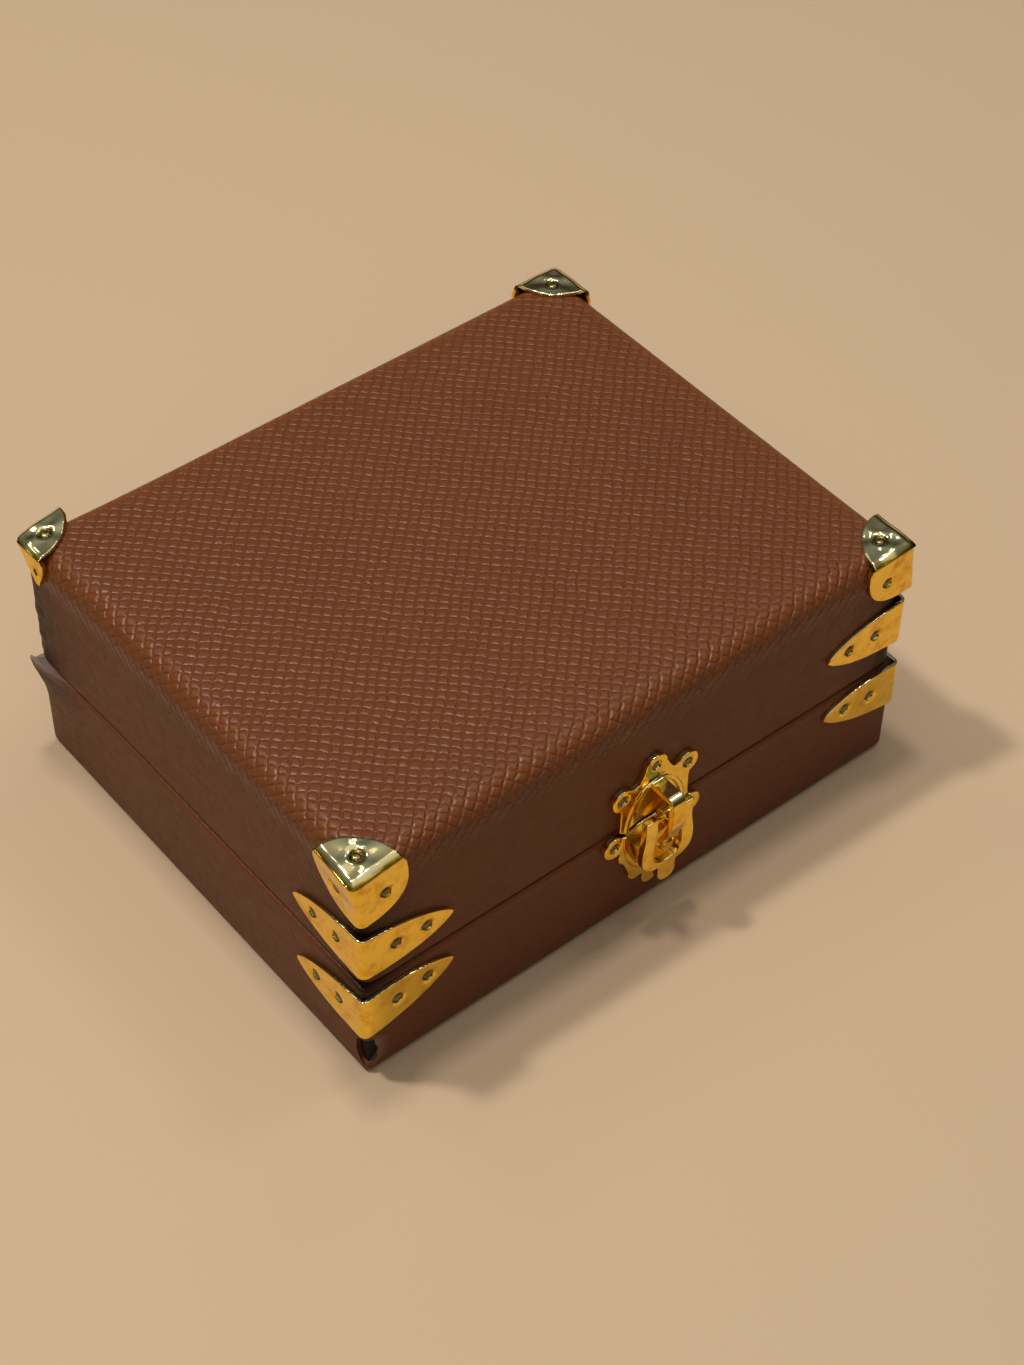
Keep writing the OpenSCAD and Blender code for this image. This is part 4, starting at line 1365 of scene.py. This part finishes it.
# Depths below a cap's top at which the worn gilt starts and is full, and at which the painted dark
# reflection under the fold begins and ends
CAP_WORN = (0.6 * MM, 0.3 * MM)
CAP_DARK_BAND_LOW = (1.4 * MM, 0.9 * MM)
CAP_DARK_BAND_HIGH = (0.7 * MM, 0.4 * MM)
# A pin within this of a cap's box is one of its own
CAP_ROOM = 1 * MM
# How each cap has been knocked out of true, as a shift
CAP_BENDS = {
    "cap_front_left": bend_front_left,
    "cap_front_right": bend_front_right,
    "cap_back_left": bend_back_left,
    "cap_back_right": bend_back_right,
}


class CASE_OT_caps(Operator):
    """Make the four corner caps and their pins"""

    bl_idname = "case.caps"
    bl_label = "Corner caps"

    def execute(self, context):
        gilt_material("polished_gilt", colours().gilt, rough=0.07)
        gilt_material("aged_gilt", colours().pins, rough=0.22)
        places = pin_places("cap_pins")
        bent = []
        for node, bend in CAP_BENDS.items():
            low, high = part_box(node)
            own = [item for item in places if all(
                low[i] - CAP_ROOM < item[0][i] < high[i] + CAP_ROOM for i in range(3))]
            cap = tumbled(node, rounds=5)
            mould(cap, fold_round(low, high, 1.3 * MM))
            mould(cap, dent(own, depth=0.30 * MM, reach=1.2 * MM))
            for place, out in own:
                if out.z > 0:
                    mould(cap, star(place, out, 0.09 * MM))
            write_share(cap, "worn", lambda p: risen(p.z, high.z, *CAP_WORN))
            # Painted dark reflection in the band under the fold
            write_share(cap, "dull", lambda p: risen(p.z, high.z, *CAP_DARK_BAND_LOW)
                        * (1 - risen(p.z, high.z, *CAP_DARK_BAND_HIGH)))
            mould(cap, bend)
            bent += [(place + bend(place), out) for place, out in own]
            finish_gilt(cap, "lid", node)
        set_of_pins("cap_pins", "lid", bent, sink=0.26 * MM)
        return {"FINISHED"}


class CASE_OT_straps(Operator):
    """Make the corner straps and their pins"""

    bl_idname = "case.straps"
    bl_label = "Corner straps"

    def execute(self, context):
        for part, body in (("lid_strap", "lid"), ("base_strap", "base")):
            places = pin_places(part + "_pins")
            for side in ("left", "right"):
                node = f"{part}_{side}"
                strap = tumbled(node, rounds=5)
                mould(strap, dent(places, depth=0.26 * MM, reach=1.1 * MM))
                rub_tops(strap)
                finish_gilt(strap, body, node)
            set_of_pins(part + "_pins", body, places, sink=0.24 * MM, turn=1.3)
        return {"FINISHED"}


# How far the dish's floor stands off the case, and how much its rim rises and its
# middle sinks
DISH_FLOOR = (0.3 * MM, 0.75 * MM)
DISH_RIM_RISE = 0.30 * MM
DISH_MIDDLE_SINK = 0.12 * MM


def hollow(front, middle, half_w, half_h):
    """A shift that turns the flat floor of the oval dish into a soft hollow."""
    def shift(p):
        out = front - p.y
        if not DISH_FLOOR[0] < out < DISH_FLOOR[1]:
            return Vector((0, 0, 0))
        far = math.hypot((p.x - middle.x) / half_w, (p.z - middle.z) / half_h)
        if far > 1:
            return Vector((0, 0, 0))
        rim = between(far, 0.35, 1.0)
        return Vector((0, DISH_MIDDLE_SINK * (1 - far) - DISH_RIM_RISE * rim, 0))
    return shift


# The latch is remeshed finer than the other fittings
LATCH_FINENESS = 0.8


class CASE_OT_latch(Operator):
    """Make the latch's plates, its hook and its ring"""

    bl_idname = "case.latch"
    bl_label = "Latch"

    def execute(self, context):
        for part, body, front in (
            ("latch_upper", "lid", LID_FRONT), ("latch_lower", "base", BASE_FRONT),
        ):
            low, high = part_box(part + "_pins")
            middle = Vector(((low.x + high.x) / 2, 0, LID_LOW.z - 0.85 * MM))
            places = pin_places(part + "_pins")
            plate = tumbled(part + "_plate", rounds=6, fineness=LATCH_FINENESS)
            mould(plate, dent(places, depth=0.15 * MM, reach=0.9 * MM))
            mould(plate, hollow(front, middle, half_w=5 * MM, half_h=8.4 * MM))
            rub_tops(plate)
            finish_gilt(plate, body, part + "_plate")
            set_of_pins(part + "_pins", body, places, sink=0.22 * MM, turn=2.1)
        ring = tumbled("latch_ring", rounds=6, fineness=LATCH_FINENESS)
        rub_tops(ring)
        finish_gilt(ring, "latch_ring", "latch_ring")
        return {"FINISHED"}


class CASE_OT_hinges(Operator):
    """Make the two hinges with their pins and nails"""

    bl_idname = "case.hinges"
    bl_label = "Hinges"

    def execute(self, context):
        for side in ("left", "right"):
            for part, body in (("base_leaf", "base"), ("lid_leaf", "lid"), ("pin", "base")):
                node = f"hinge_{side}_{part}"
                finish_gilt(tumbled(node, rounds=3), body, node)
        for node, body in (("hinge_base_nails", "base"), ("hinge_lid_nails", "lid")):
            set_of_pins(node, body, pin_places(node), sink=0.05 * MM, turn=0.7)
        return {"FINISHED"}


# ---------- stage ----------

FLOOR_SIZE = 6
# Name, place, size, power and colour of each lamp
LAMPS = (
    ("lamp_key", (-0.285, 0.230, 0.930), 0.07, 4.3, (1.0, 0.96, 0.90)),
    ("lamp_overhead", (0.05, -0.22, 0.95), 0.85, 0.9, (1.0, 0.97, 0.93)),
    ("lamp_spark", (0.0, 0.08, 0.97), 0.09, 2.3, (1.0, 0.96, 0.90)),
    ("lamp_front_folds", (0.43, -0.10, 0.89), 0.18, 0.6, (1.0, 0.97, 0.92)),
    ("lamp_fill", (-0.36, -0.66, 0.68), 0.40, 0.85, (1.0, 0.93, 0.84)),
    ("lamp_left_folds", (-0.12, 0.52, 0.80), 0.18, 0.4, (1.0, 0.97, 0.92)),
    ("lamp_glint", (0.42, 0.29, 0.86), 0.11, 0.20, (1.0, 0.98, 0.95)),
)
LAMP_AIM = Vector((0, 0, 0.02))
# Height from 0 to 1 and colour of the steps of the room's light
ROOM = (
    (0.00, (0.030, 0.027, 0.023)), (0.48, (0.050, 0.047, 0.042)), (0.62, (0.13, 0.13, 0.125)),
    (0.74, (0.17, 0.19, 0.20)), (1.00, (0.45, 0.45, 0.44)),
)
CAMERA_PLACE = (-0.1801, -0.22907, 0.3238)
CAMERA_WAY = Vector((0.43553, 0.52802, -0.72905))
CAMERA_ROLL = math.radians(0.7608)
CAMERA_LENS = 73.08
CAMERA_SENSOR = 36


def lamp(name, place, size, power, colour):
    """A soft square lamp aimed at the case."""
    clear_selection()
    bpy.ops.object.light_add(type="AREA", location=place)
    obj = bpy.context.object
    obj.name = name
    obj.data.size = size
    obj.data.energy = power * sizes().lamp
    obj.data.color = colour
    obj.rotation_euler = (LAMP_AIM - Vector(place)).to_track_quat("-Z", "Y").to_euler()


class CASE_OT_stage(Operator):
    """Lay the floor, and set the lamps, the world and the camera"""

    bl_idname = "case.stage"
    bl_label = "Stage"

    def execute(self, context):
        clear_selection()
        bpy.ops.mesh.primitive_plane_add(size=FLOOR_SIZE, location=(0, 0, 0))
        floor = named("floor")
        floor.data.materials.append(floor_material())
        for row in LAMPS:
            lamp(*row)
        context.scene.world = soft_room()
        context.scene.view_settings.view_transform = "Standard"
        place_camera()
        return {"FINISHED"}


def soft_room():
    """A dim room that gets lighter towards its ceiling."""
    world = bpy.data.worlds.new("soft_room")
    world.use_nodes = True
    tree = world.node_tree
    tree.nodes.clear()
    out = tree.nodes.new("ShaderNodeOutputWorld")
    sky = tree.nodes.new("ShaderNodeBackground")
    place = tree.nodes.new("ShaderNodeTexCoord")
    parts = tree.nodes.new("ShaderNodeSeparateXYZ")
    ramp = tree.nodes.new("ShaderNodeValToRGB")
    tree.links.new(place.outputs["Generated"], parts.inputs[0])
    tree.links.new(parts.outputs["Z"], ramp.inputs[0])
    steps = ramp.color_ramp.elements
    while len(steps) < len(ROOM):
        steps.new(0.5)
    for step, (height, colour) in zip(steps, ROOM):
        step.position = height
        step.color = (*colour, 1)
    tree.links.new(ramp.outputs[0], sky.inputs["Color"])
    tree.links.new(sky.outputs[0], out.inputs["Surface"])
    sky.inputs["Strength"].default_value = 1.0
    return world


def place_camera():
    """A long lens from the front left and above."""
    clear_selection()
    bpy.ops.object.camera_add(location=CAMERA_PLACE)
    camera = bpy.context.object
    camera.name = "camera"
    turn = CAMERA_WAY.to_track_quat("-Z", "Y").to_matrix().to_4x4()
    turn = turn @ Matrix.Rotation(CAMERA_ROLL, 4, "Z")
    camera.rotation_euler = turn.to_euler()
    camera.data.lens = CAMERA_LENS
    camera.data.sensor_width = CAMERA_SENSOR
    camera.data.clip_start = 0.01
    camera.data.clip_end = 20
    bpy.context.scene.camera = camera


class CASE_PT_panel(Panel):
    """The case's pieces, one button each"""

    bl_label = "Jewellery case"
    bl_idname = "CASE_PT_panel"
    bl_space_type = "VIEW_3D"
    bl_region_type = "UI"
    bl_category = "Case"

    def draw(self, context):
        column = self.layout.column()
        for operator in STEPS:
            column.operator(operator.bl_idname)
        for group in (context.scene.case_sizes, context.scene.case_colours):
            for name in group.__annotations__:
                column.prop(group, name)


STEPS = (
    CASE_OT_stage, CASE_OT_leather, CASE_OT_boards, CASE_OT_linings, CASE_OT_caps,
    CASE_OT_straps, CASE_OT_latch, CASE_OT_hinges,
)
CLASSES = (CaseColours, CaseSizes, *STEPS, CASE_PT_panel)


def register():
    for cls in CLASSES:
        bpy.utils.register_class(cls)
    bpy.types.Scene.case_colours = PointerProperty(type=CaseColours)
    bpy.types.Scene.case_sizes = PointerProperty(type=CaseSizes)


def unregister():
    del bpy.types.Scene.case_sizes
    del bpy.types.Scene.case_colours
    for cls in reversed(CLASSES):
        bpy.utils.unregister_class(cls)


def main():
    register()
    bpy.ops.case.stage()
    bpy.ops.case.leather()
    bpy.ops.case.boards()
    bpy.ops.case.linings()
    bpy.ops.case.caps()
    bpy.ops.case.straps()
    bpy.ops.case.latch()
    bpy.ops.case.hinges()


if __name__ == "__main__":
    main()
